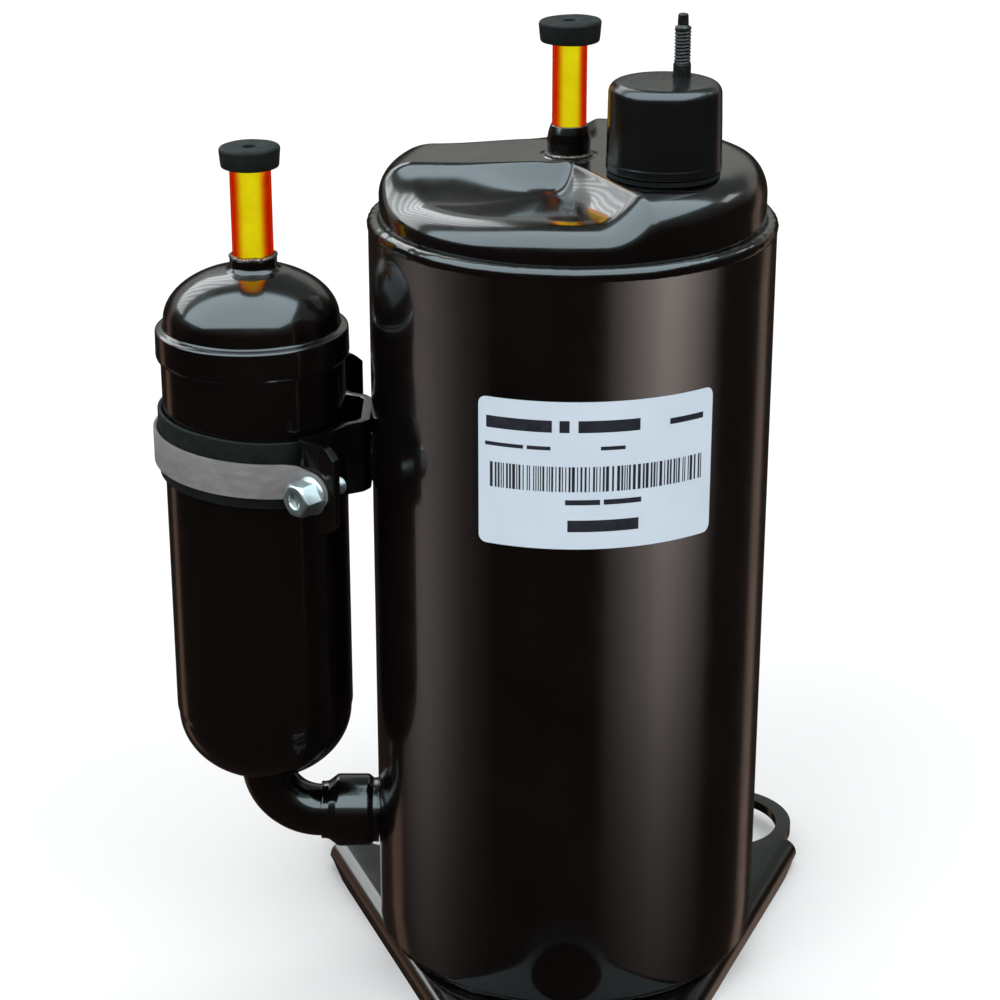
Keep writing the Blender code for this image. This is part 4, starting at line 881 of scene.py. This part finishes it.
def make_accumulator():
    shoulder = ACC_LOW.z + 21.0
    lip = OUTLET_R + 0.1
    low_a, low_b = ACC_R - 0.45, 21.0
    outer = [(ACC_R, ACC_HIGH.z), (ACC_R, shoulder + 2.4)]
    outer += [(ACC_R - 0.08, shoulder + 1.6), (low_a, shoulder + 0.4)]
    outer += ellipse(low_a, low_b, shoulder, 0.0, -math.degrees(math.acos(lip / low_a)), 22)
    wall = 2.0
    in_a, in_b = low_a - wall, low_b - wall
    inner = ellipse(in_a, in_b, shoulder, -math.degrees(math.acos(lip / in_a)), 0.0, 12)
    inner += [(ACC_R - wall, shoulder + 2.0), (ACC_R - wall, ACC_HIGH.z)]
    body = lathe("accumulator_can", stretch(outer + inner, 10.0), MEDIUM, True, ACC_AT)
    fit(body, "black_paint", "accumulator_body")

    top = ACC_CAP_HIGH.z
    neck_z = top - 3.4
    rim_z = ACC_CAP_LOW.z + 9.0
    dome_z, dome_r, dome_rise = ACC_CAP_LOW.z + 11.2, 25.0, 15.3
    neck = SUCTION_R + 0.05
    outer = [(neck, top), (6.7, top, 0.5), (6.65, neck_z + 0.9, 1.2), (7.6, neck_z - 0.3, 1.5)]
    outer += ellipse(dome_r, dome_rise, dome_z, 66.0, 4.0, 30)
    outer += [(dome_r, rim_z + 0.35, 1.3), (26.4, rim_z + 0.1, 0.5), (ACC_CAP_R - 0.1, rim_z - 0.3, 1.5)]
    outer += [(ACC_CAP_R, ACC_CAP_LOW.z + 1.4, 0.6), (27.2, ACC_CAP_LOW.z + 0.6)]
    outer += [(26.8, ACC_CAP_LOW.z + 0.1, 0.2), (ACC_R + 0.05, ACC_CAP_LOW.z)]
    inner = [(ACC_R + 0.05, ACC_HIGH.z + 0.3), (dome_r - wall, ACC_HIGH.z + 0.3)]
    inner += ellipse(dome_r - wall, dome_rise - wall, dome_z, 6.0, 66.0, 10) + [(neck, neck_z - 2.4)]

    def shift(x, y, z):
        near = smoothstep((14.0 - math.hypot(x - ACC_X, y)) / 6.0)
        return x + (SUCTION_AT[0] - ACC_X) * near, y, z

    cap = lathe("accumulator_dome", rounded(outer + inner, True, 5), MEDIUM, True, ACC_AT, shift, 45.0)
    fit(cap, "black_paint", "accumulator_cap")

    bead("suction_seam", SUCTION_R + 0.4, top + 0.2, 0.7, 0.7, 0.45, 31.0, "braze", SUCTION_AT,
         ("suction_braze_ring",), MEDIUM)
    pipe = copper_pipe("suction_pipe", "suction_tube", SUCTION_R, 0.9)

    path = elbow_path(OUTLET_HIGH.z, OUTLET_HIGH.x)
    bend = sweep("outlet_elbow", path, lambda i: OUTLET_R, COARSE, lambda i: OUTLET_R - 1.2)
    fit(bend, "black_paint", "accumulator_outlet_tube")
    bead("outlet_seam", OUTLET_R + 0.35, ACC_LOW.z + 1.3, 0.7, 0.8, 0.25, 41.0, at=ACC_AT, steps=MEDIUM)

    inner = OUTLET_R + 0.05
    reach = NIPPLE_HIGH.x - NIPPLE_LOW.x
    outer = [(inner, reach, 0.0), (OUTLET_R + 0.75, reach, 0.4), (OUTLET_R + 1.0, reach - 1.6, 1.6)]
    outer += [(NIPPLE_R, reach - 4.4, 1.8), (NIPPLE_R, 2.6, 1.6)]
    outer += [(NIPPLE_R - 1.3, 1.2, 0.6), (NIPPLE_R - 1.1, -0.2)]
    sleeve = lathe("inlet_sleeve", rounded(outer + [(inner, -0.2)], True, 6), MEDIUM, True)
    aim(sleeve, (NIPPLE_HIGH.x, 0, INLET_Z), (-1, 0, 0))
    fit(sleeve, "black_paint", "inlet_nipple")
    seam = bead("inlet_seam", OUTLET_R + 0.35, reach + 0.1, 0.5, 0.6, 0.3, 51.0, steps=MEDIUM)
    aim(seam, (NIPPLE_HIGH.x, 0, INLET_Z), (-1, 0, 0))
    return pipe


# --- clamp -----------------------------------------------------------------------------------
EAR_DIRECTION = Vector(polar(1.0, EAR_HEADING))
EAR_CORNER = Vector((ACC_X, 0.0)) + Vector(polar(BAND_IN + 0.5 * BRACKET_T, EAR_ANGLE))
BOLT_POINT = EAR_CORNER + EAR_DIRECTION * BOLT_REACH
BOLT_SIDE = Vector((EAR_DIRECTION.y, -EAR_DIRECTION.x))
REAR_DIRECTION = Vector(polar(1.0, REAR_HEADING))
REAR_CORNER = Vector((ACC_X, 0.0)) + Vector(polar(BAND_IN + 0.5 * BRACKET_T, -EAR_ANGLE))


def bolt_hole(radius):
    cutter = lathe("bolt_cutter", [(0, 6.0), (radius, 6.0), (radius, -6.0), (0, -6.0)], COARSE)
    return aim(cutter, (*BOLT_POINT, CLAMP_Z), (*BOLT_SIDE, 0.0))


def path_length(path):
    return sum((Vector(b) - Vector(a)).length for a, b in zip(path, path[1:]))


def make_bracket():
    """A cradle of plate: a web against the shell, two arms round the pad, and an ear at each end."""
    middle = BAND_IN + 0.5 * BRACKET_T
    web_x = -SHELL_R - 0.1 - 0.5 * BRACKET_T
    corner = 3.2
    tip = EAR_CORNER + EAR_DIRECTION * EAR_LENGTH
    path = [tuple(tip - EAR_DIRECTION * d) for d in (0.0, 0.4, 0.9, 1.6, 2.4, corner, 6.0)]
    path += [tuple(EAR_CORNER + EAR_DIRECTION * 2.6)]
    turn = [path[-1], (*(EAR_CORNER + EAR_DIRECTION * 0.6), 2.0)]
    turn += arc((ACC_X, 0.0), middle, EAR_ANGLE + 4.0, EAR_ANGLE + 5.0, 1)
    path += rounded(turn, False, 5)[1:-1]
    path += arc((ACC_X, 0.0), middle, EAR_ANGLE + 5.0, -27.0, 12)
    path += rounded([(ACC_X + polar(middle, -27.0)[0], polar(middle, -27.0)[1]), (web_x - 1.6, -11.0, 2.0),
                     (web_x, -8.5, 2.0), (web_x, 8.5, 2.0), (web_x - 1.6, 11.0, 2.0),
                     (ACC_X + polar(middle, 27.0)[0], polar(middle, 27.0)[1])], False, 4)[1:-1]
    path += arc((ACC_X, 0.0), middle, 27.0, 57.0, 12)
    path += [tuple(REAR_CORNER + REAR_DIRECTION * d) for d in (1.5, 6.0, 10.0, 14.0, 15.5, 16.5, 17.1, 17.5)]
    total = path_length(path)
    low, high = BRACKET_LOW.z, BRACKET_HIGH.z

    def inset(s):
        end = min(s, total - s)
        return max(corner - end, 0.0) * 0.9

    def under(s):
        return low + inset(s) + EAR_DROP * smoothstep((s - EAR_LENGTH + 5.0) / 5.0)

    def over(s):
        return high - inset(s) - HOOK_RISE * smoothstep((total - s - 9.0) / 5.0)

    bracket = ribbon("cradle", path, under, over, BRACKET_T)
    combine(bracket, [bolt_hole(2.8)], "DIFFERENCE")
    fit(soften(bracket, 0.35), "black_paint", "clamp_bracket")
    levels = [low + EAR_DROP + rise for rise in (3.0, 6.0, 10.0, 14.0)] + [high - HOOK_RISE - 3.0]
    for i, reach in enumerate((10.6, -10.6)):
        seam_x = -math.sqrt(SHELL_R ** 2 - reach ** 2) - 0.2
        points = [(seam_x, reach, a + (b - a) * k / 6) for a, b in zip(levels, levels[1:]) for k in range(6)]
        weld = sweep(f"cradle_weld_{i + 1}", points,
                     lambda k: (0.35 + 1.0 * math.sin(math.pi * (k + 0.5) / 24.0) ** 0.4)
                     * (1.0 + 0.16 * wobble(0.0, 0.0, k * 0.9, 1.7, i)), 14)
        fit(weld, "black_paint")


def tilt(strip):
    """Lift the strap or its pad towards the side away from the bolt."""
    for vertex in strip.data.vertices:
        vertex.co.z -= BAND_TILT * (vertex.co.x - BOLT_POINT.x * MM)
    return strip


def make_band():
    """The strap: a tab under the bolt's head, round the far side of the can, to the rear ear."""
    offset = 0.5 * (BRACKET_T + BAND_T) + 0.1
    tab = EAR_CORNER + BOLT_SIDE * offset
    radius = BAND_IN + 0.5 * BAND_T
    ring = arc((ACC_X, 0.0), radius, -70.0, -288.0, 72)
    front = [tuple(tab + EAR_DIRECTION * d) for d in (12.6, 12.3, 11.6, 10.4, 8.6, 6.0, 2.5)]
    lead_in = rounded([front[-1], (*(tab + EAR_DIRECTION * 0.2), 4.0), ring[0]], False, 6)[1:-1]
    side = Vector((-REAR_DIRECTION.y, REAR_DIRECTION.x)) * offset
    rear = [tuple(REAR_CORNER + side + REAR_DIRECTION * d) for d in (2.5, 8.0, 13.0, 17.0, 19.0)]
    lead_out = rounded([ring[-1], (*(REAR_CORNER + side), 3.0), rear[0]], False, 6)[1:-1]
    path = front + lead_in + ring + lead_out + rear
    half = 0.5 * BAND_HEIGHT
    low, high = BAND_Z - half, BAND_Z + half

    def inset(s):
        return half - math.sqrt(max(half ** 2 - max(half - s, 0.0) ** 2, 0.6))

    band = ribbon("strap", path, lambda s: low + inset(s), lambda s: high - inset(s), BAND_T)
    combine(tilt(band), [bolt_hole(2.8)], "DIFFERENCE")
    fit(soften(band, 0.3), "band_steel", "clamp_band")


def make_pad():
    """The rubber strip under the strap, wider than it and standing out a little at its edges."""
    path = arc((ACC_X, 0.0), PAD_IN + 0.45 * PAD_T, -32.0, -328.0, 96)
    low, high = PAD_BOTTOM, PAD_TOP
    pad = ribbon("rubber_strip", path, lambda s: low + 0.25 * wobble(s, 0.0, 0.0, 14.0, 7.0) + 0.2,
                 lambda s: high + 0.25 * wobble(s, 0.0, 0.0, 11.0, 8.0) - 0.2, PAD_T)
    fit(soften(tilt(pad), 0.4, 3), "plug_rubber", "clamp_pad")


def make_bolt():
    """A flanged hexagon screw with a cross recess, through the ear and the strap's tab."""
    seat = 0.5 * BRACKET_T + BAND_T + 0.15
    head_top = seat + 6.6
    flange = [(0, seat + 1.4), (4.0, seat + 1.4), (5.6, seat + 0.8, 0.4), (5.6, seat, 0.2), (0, seat)]
    washer = lathe("bolt_flange", rounded(flange, False, 4), MEDIUM)
    hexagon = lathe("bolt_head", [(0, head_top), (5.1, head_top), (5.1, seat + 0.8), (0, seat + 0.8)], 6)
    chamfer = [(0, head_top + 0.1), (4.0, head_top + 0.05, 0.3), (5.3, head_top - 0.8, 0.5)]
    chamfer += [(5.3, seat - 1.0), (0, seat - 1.0)]
    crown = lathe("head_chamfer", rounded(chamfer, False, 4), MEDIUM)
    combine(hexagon, [crown], "INTERSECT")
    dimple = [(0, head_top + 1.0), (2.6, head_top + 1.0), (2.2, head_top - 0.5), (0, head_top - 0.9)]
    cutters = [lathe("head_dimple", dimple, COARSE)]
    for k in range(2):
        cross = bpy.data.meshes.new(f"recess_{k}")
        bm = bmesh.new()
        bmesh.ops.create_cube(bm, size=1.0)
        for v in bm.verts:
            grip = 1.0 if v.co.z > 0.0 else 0.45
            v.co = Vector((v.co.x * 4.2 * grip, v.co.y * 0.95, head_top - 1.6 + v.co.z * 4.4)) * MM
        bmesh.ops.rotate(bm, verts=bm.verts, matrix=Matrix.Rotation(0.25 * TAU * k + 0.3, 3, "Z"))
        bm.to_mesh(cross)
        bm.free()
        cutters.append(put_in_scene(cross.name, cross))
    combine(hexagon, cutters, "DIFFERENCE")
    combine(hexagon, [washer], "UNION")
    soften(hexagon, 0.18, 2, 25.0)
    shank = rounded([(0, seat + 0.5), (2.5, seat + 0.5), (2.5, -8.5, 0.2), (1.9, -9.0), (0, -9.0)], False, 3)
    shank = threaded("bolt_shank", shank, 2.4, 0.42, 0.8, -8.9, 0.0)
    for piece in (hexagon, shank):
        aim(piece, (*BOLT_POINT, CLAMP_Z), (*BOLT_SIDE, 0.0))
    fit(hexagon, "zinc", "clamp_bolt")
    fit(shank, "zinc", "clamp_bolt")


# --- label -----------------------------------------------------------------------------------
def make_label():
    """A plain printed sheet: bars in place of words, and a generic bar pattern."""
    low, high = span("rating_label")
    start, end = -117.0, -49.8
    z0, z1 = low.z, high.z
    face = SHELL_R + 0.05
    thick = 0.14
    width = math.radians(end - start) * face
    corner = 2.2

    def at(distance):
        return start + math.degrees(distance / face)

    def strip(name, s0, s1, low_z, high_z, radius, thickness, round_r):
        ease = [0.0, 0.04, 0.15, 0.33, 0.6, 1.0]
        spots = [s0 + round_r * e for e in ease] + [s1 - round_r * e for e in reversed(ease)]
        body = max(2, int((s1 - s0) / 3.0))
        between = [s0 + round_r + (s1 - s0 - 2 * round_r) * k / body for k in range(1, body)]
        spots = spots[:len(ease)] + between + spots[len(ease):]
        path = [polar(radius, at(s)) for s in spots]

        def cut(s):
            edge = max(round_r - min(s, s1 - s0 - s), 0.0)
            return round_r - math.sqrt(max(round_r ** 2 - edge ** 2, 0.0))

        return ribbon(name, path, lambda s: low_z + min(cut(s), 0.98 * round_r),
                      lambda s: high_z - min(cut(s), 0.98 * round_r), thickness)

    sheet = strip("label_sheet", 0.0, width, z0, z1, face + 0.5 * thick, thick, corner)
    fit(sheet, "label_paper", "rating_label")

    tall = z1 - z0
    ink_face = face + thick + 0.03
    marks = []
    random.seed(5)
    s, stop = 3.4, width - 3.2
    while s < stop:
        bar = random.choice((0.28, 0.28, 0.52, 0.52, 0.8))
        marks.append((s, min(s + bar, stop), 0.395, 0.565))
        s += bar + random.choice((0.34, 0.34, 0.6, 0.85))
    rows = ((0.795, 0.875, ((0.035, 0.305), (0.335, 0.375), (0.41, 0.66))), (0.805, 0.845, ((0.79, 0.95),)),
            (0.675, 0.70, ((0.03, 0.19), (0.205, 0.30), (0.50, 0.60))),
            (0.305, 0.34, ((0.36, 0.50), (0.515, 0.67))), (0.12, 0.20, ((0.37, 0.66),)))
    marks += [(a * width, b * width, low_t, high_t) for low_t, high_t, blocks in rows for a, b in blocks]
    verts, faces = [], []
    for a, b, low_t, high_t in marks:
        cuts = max(1, int((b - a) / 2.0))
        first = len(verts)
        for k in range(cuts + 1):
            x, y = polar(ink_face, at(a + (b - a) * k / cuts))
            ix, iy = polar(ink_face - 0.025, at(a + (b - a) * k / cuts))
            z_low, z_high = z0 + tall * low_t, z0 + tall * high_t
            verts += [(ix, iy, z_low), (x, y, z_low), (x, y, z_high), (ix, iy, z_high)]
        for a in range(first, first + 4 * cuts, 4):
            for m in range(4):
                n = (m + 1) % 4
                faces.append((a + m, a + n, a + 4 + n, a + 4 + m))
        faces.append((first, first + 1, first + 2, first + 3))
        last = first + 4 * cuts
        faces.append((last + 3, last + 2, last + 1, last))
    ink = as_object("label_print", verts, faces)
    ink.data.materials.append(MATERIALS["label_ink"])
    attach(ink, ROOT)


# --- inside the pump -------------------------------------------------------------------------
def make_vane_spring():
    """The coil behind the vane."""
    low, high = span("vane_spring")
    middle = 0.5 * (low + high)
    slide = next(joint for joint in frame["joints"] if joint["name"] == "vane_slide")
    back, up = Vector(slide["axis"]).normalized(), Vector((0.0, 0.0, 1.0))
    across = back.cross(up)
    wire, turns, steps, sides = 0.45, 5, 24, 10
    coil = 0.5 * (high.z - low.z) - wire
    length = (high.x - low.x - 2.0 * (coil + wire) * abs(back.y)) / abs(back.x)
    count = turns * steps + 1
    verts = []
    for i in range(count):
        turn = TAU * i / steps
        outward = math.cos(turn) * across + math.sin(turn) * up
        along = (length - 2.0 * wire) * (i / (count - 1) - 0.5)
        for k in range(sides):
            a = TAU * k / sides
            reach, shift = coil + wire * math.cos(a), along + wire * math.sin(a)
            verts.append(tuple(middle + outward * reach + back * shift))
    spring = as_object("vane_coil", verts, skin(count, sides))
    fit(spring, "machined_steel", "vane_spring")
    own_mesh(spring)


shell_piece = make_shell()
make_top_cap()
make_seams()
make_bottom_cap()
make_base_plate()
make_tack_welds()
discharge_piece = make_discharge()
make_plug("discharge_stopper_rubber", "discharge_plug", "discharge_stopper", -0.5)
make_plug("suction_stopper_rubber", "suction_plug", "suction_stopper", -0.4)
make_terminal_cover()
make_stud()
suction_piece = make_accumulator()
make_bracket()
make_band()
make_pad()
make_bolt()
make_label()
make_vane_spring()


# --- camera, floor and light -----------------------------------------------------------------
def make_camera():
    data = bpy.data.cameras.new("view")
    data.lens, data.sensor_width = 92.5, 36.0
    camera = put_in_scene("view", data)
    camera.location = Vector((-20.18, -695.46, 418.41)) * MM
    camera.rotation_euler = (math.radians(90.0 - 21.52), 0.0, 0.0)
    bpy.context.scene.camera = camera


def make_floor():
    mesh = bpy.data.meshes.new("floor")
    bm = bmesh.new()
    bmesh.ops.create_grid(bm, x_segments=1, y_segments=1, size=6.0)
    bm.to_mesh(mesh)
    bm.free()
    floor = put_in_scene("floor", mesh)
    paper = ((0.3, (0.93, 0.93, 0.93)), (0.75, (0.96, 0.96, 0.96)))
    mesh.materials.append(finish("studio_floor", (900.0, 2.0), paper, ((300.0,), 0.9, 1.0), specular=0.1))
    floor.visible_glossy = False


def make_lamp(name, at, target, size, power):
    data = bpy.data.lights.new(name, "AREA")
    data.shape = "RECTANGLE"
    data.size, data.size_y = size
    data.energy = power
    lamp = put_in_scene(name, data)
    lamp.location = at
    lamp.rotation_euler = (Vector(target) - Vector(at)).to_track_quat("-Z", "Y").to_euler()
    lamp.visible_glossy = False


class Studio(Nodes):
    """The surroundings: white to the eye, soft light for diffuse surfaces, and panels for reflections."""

    def __init__(self):
        world = bpy.data.worlds.new("studio")
        bpy.context.scene.world = world
        world.use_nodes = True
        world.cycles.sampling_method = "NONE"
        super().__init__(world.node_tree)
        self.tree.nodes.clear()
        self.way = self.node("TexCoord").outputs["Generated"]
        self.total = None

    def along(self, direction):
        return self.vector("DOT_PRODUCT", self.way, direction).outputs["Value"]

    def light(self, mask, colour, strength):
        """Add light of one colour where the mask is high."""
        full = [c * strength for c in colour]
        made = self.node("VectorMath", {0: full, "Scale": mask}, operation="SCALE").outputs[0]
        self.total = self.vector("ADD", self.total, made).outputs[0] if self.total else made

    def panel(self, heading, rise, wide, tall, soft, colour, strength):
        """A soft-edged panel; heading is degrees from the front round to the right, rise above level."""
        h, e = math.radians(heading), math.radians(rise)
        centre = Vector((math.sin(h) * math.cos(e), -math.cos(h) * math.cos(e), math.sin(e)))
        right = Vector((math.cos(h), math.sin(h), 0.0))
        up = right.cross(centre) * -1.0
        up = centre.cross(right) if up.z < 0.0 else up
        facing = self.along(centre)
        depth = self.math("MAXIMUM", facing, 0.02)
        masks = []
        for direction, half in ((right, wide), (up, tall)):
            spot = self.math("ABSOLUTE", self.math("DIVIDE", self.along(direction), depth))
            edge = math.tan(math.radians(half))
            masks.append(self.spread(spot, edge * (1 - soft), edge, 1.0, 0.0))
        mask = self.math("MULTIPLY", self.math("MULTIPLY", *masks), self.spread(facing, 0.02, 0.1))
        self.light(mask, colour, strength)

    def skylight(self, left, right, front, back, soft, colour, strength, slats=0.0):
        """A rectangle of a ceiling one unit up; its sides are distances from the point overhead."""
        up = self.math("MAXIMUM", self.along((0.0, 0.0, 1.0)), 0.02)
        u = self.math("DIVIDE", self.along((1.0, 0.0, 0.0)), up)
        v = self.math("DIVIDE", self.along((0.0, 1.0, 0.0)), up)
        mask = self.spread(up, 0.03, 0.1)
        for value, low, high in ((u, left, right), (v, front, back)):
            mask = self.math("MULTIPLY", mask, self.spread(value, low - soft, low + soft))
            mask = self.math("MULTIPLY", mask, self.spread(value, high - soft, high + soft, 1.0, 0.0))
        if slats:
            stripe = self.math("SINE", self.math("MULTIPLY", self.math("ADD", u, v), slats))
            mask = self.math("MULTIPLY", mask, self.spread(stripe, -0.2, 0.5, 0.4, 1.0))
        self.light(mask, colour, strength)

    def finish(self, ambient):
        """White background, plain soft light for diffuse rays, and the panels for glossy ones."""
        path = self.node("LightPath").outputs
        white, plain, panels = [self.node("Background", {"Color": colour}).outputs[0]
                                for colour in ((1.0, 1.0, 1.0, 1.0), (*ambient, 1.0), self.total)]
        soft = self.node("MixShader", {0: path["Is Glossy Ray"], 1: plain, 2: panels}).outputs[0]
        seen = self.node("MixShader", {0: path["Is Camera Ray"], 1: soft, 2: white}).outputs[0]
        self.node("OutputWorld", {"Surface": seen})


def make_reflector(name, centre, radius, headings, heights, across, upward, strength, receivers):
    """A curved light card near a piece, which only that piece reflects: its light fades across and upward.

    across and upward are (fraction, colour) stops; headings are degrees from the front round to the right.
    """
    columns, rows = 48, 2
    verts, faces = [], []
    for i in range(columns + 1):
        a = math.radians(headings[0] + (headings[1] - headings[0]) * i / columns)
        for j in range(rows + 1):
            z = heights[0] + (heights[1] - heights[0]) * j / rows
            verts.append((radius * math.sin(a) * MM, -radius * math.cos(a) * MM, z * MM))
    for i in range(columns):
        for j in range(rows):
            k = i * (rows + 1) + j
            faces.append((k, k + rows + 1, k + rows + 2, k + 1))
    mesh = bpy.data.meshes.new(name)
    mesh.from_pydata(verts, [], faces)
    card = put_in_scene(name, mesh)
    card.location = Vector((*centre, 0.0)) * MM
    material = bpy.data.materials.new(name)
    material.use_nodes = True
    card_nodes = Nodes(material.node_tree)
    card_nodes.tree.nodes.clear()
    split = card_nodes.node("SeparateXYZ", {0: card_nodes.node("TexCoord").outputs["Object"]}).outputs
    heading = card_nodes.math("ARCTAN2", split["X"], card_nodes.math("MULTIPLY", split["Y"], -1.0))
    fades = []
    for value, ends, stops in ((heading, [math.radians(h) for h in headings], across),
                               (split["Z"], [h * MM for h in heights], upward)):
        fades.append(card_nodes.ramp(card_nodes.spread(value, *ends, curve="LINEAR"), stops, "B_SPLINE"))
    light = card_nodes.vector("MULTIPLY", *fades).outputs[0]
    glow = card_nodes.node("Emission", {"Color": light, "Strength": strength}).outputs[0]
    clear = card_nodes.node("BsdfTransparent").outputs[0]
    both = card_nodes.node("AddShader", {0: glow, 1: clear}).outputs[0]
    card_nodes.node("OutputMaterial", {"Surface": both})
    mesh.materials.append(material)
    for kind in ("camera", "diffuse", "shadow", "transmission", "volume_scatter"):
        setattr(card, "visible_" + kind, False)
    chosen = bpy.data.collections.new(name + "_receivers")
    for receiver in receivers:
        chosen.objects.link(receiver)
    card.light_linking.receiver_collection = chosen


def make_studio():
    studio = Studio()
    height = studio.along((0.0, 0.0, 1.0))
    studio.light(studio.spread(height, -1.0, 0.2, 1.0, 1.0), (0.024, 0.017, 0.014), 1.0)
    studio.light(studio.spread(height, 0.05, 0.5), (0.16, 0.20, 0.185), 1.0)
    sky, cool = (0.74, 0.92, 1.0), (0.94, 0.98, 1.0)
    studio.panel(180.0, 19.0, 62.0, 13.0, 0.6, (0.98, 1.0, 0.93), 0.34)
    studio.skylight(-3.0, 1.4, -1.5, 0.40, 0.06, sky, 5.4)
    studio.skylight(-2.7, -0.25, 0.78, 2.0, 0.06, cool, 5.6, 22.0)
    studio.panel(117.0, 27.0, 8.0, 4.0, 0.4, cool, 4.0)
    studio.panel(-128.0, -14.0, 9.0, 40.0, 0.7, (1.0, 0.62, 0.45), 0.3)
    studio.panel(137.0, -18.0, 10.0, 40.0, 0.8, (1.0, 0.72, 0.58), 0.34)
    studio.finish((0.86, 0.87, 0.88))
    make_lamp("key", (-0.9, -1.3, 1.9), (0, 0, 0.12), (1.2, 1.2), 13.0)
    make_lamp("fill", (1.5, -1.0, 1.2), (0, 0, 0.12), (1.0, 1.4), 6.0)
    make_lamp("back", (0.3, 1.5, 1.6), (0, 0, 0.15), (1.6, 1.0), 8.0)


def make_reflectors(shell, discharge, suction):
    """Light cards for the shell's two soft streaks and for the pipes' warm fronts."""
    black, ember = (0.0, 0.0, 0.0), (0.12, 0.003, 0.003)
    floor_to_sky = (-90.0, 260.0)

    def grey(value):
        return (value, value * 0.93, value * 0.9)

    across = ((0.0, black), (0.12, grey(0.03)), (0.42, grey(0.85)), (0.52, grey(1.0)), (0.66, grey(0.75)),
              (0.9, grey(0.06)), (1.0, black))
    upward = ((0.0, grey(0.03)), (0.19, grey(0.065)), (0.32, grey(0.13)), (0.48, grey(0.33)), (0.78, grey(0.85)),
              (1.0, grey(1.0)))
    make_reflector("right_card", (0.0, 0.0), 125.0, (8.0, 72.0), floor_to_sky, across, upward, 4.6, [shell])
    across = ((0.0, black), (0.15, grey(0.15)), (0.35, grey(1.0)), (0.52, grey(1.0)), (0.75, grey(0.3)),
              (1.0, black))
    upward = ((0.0, grey(0.08)), (0.2, grey(0.25)), (0.35, grey(0.65)), (0.5, grey(0.9)), (1.0, grey(1.0)))
    make_reflector("left_card", (0.0, 0.0), 140.0, (-104.0, -38.0), floor_to_sky, across, upward, 0.95,
                   [shell])
    red, amber, yellow = (0.22, 0.006, 0.005), (0.30, 0.17, 0.03), (0.36, 0.86, 0.15)
    across = ((0.0, ember), (0.2, red), (0.27, red), (0.33, amber), (0.40, yellow), (0.62, yellow),
              (0.68, amber), (0.73, red), (0.82, red), (1.0, ember))
    level = ((0.0, (1.0, 1.0, 1.0)), (1.0, (1.0, 1.0, 1.0)))
    for name, pipe, place, radius in (("discharge_card", discharge, DISCHARGE_AT, TUBE_R),
                                      ("suction_card", suction, SUCTION_AT, SUCTION_R)):
        make_reflector(name, place, 1.55 * radius, (-140.0, 140.0), (100.0, 330.0), across, level, 2.9,
                       [pipe])


make_camera()
make_floor()
make_studio()
make_reflectors(shell_piece, discharge_piece, suction_piece)
bpy.context.scene.view_settings.view_transform = "Standard"
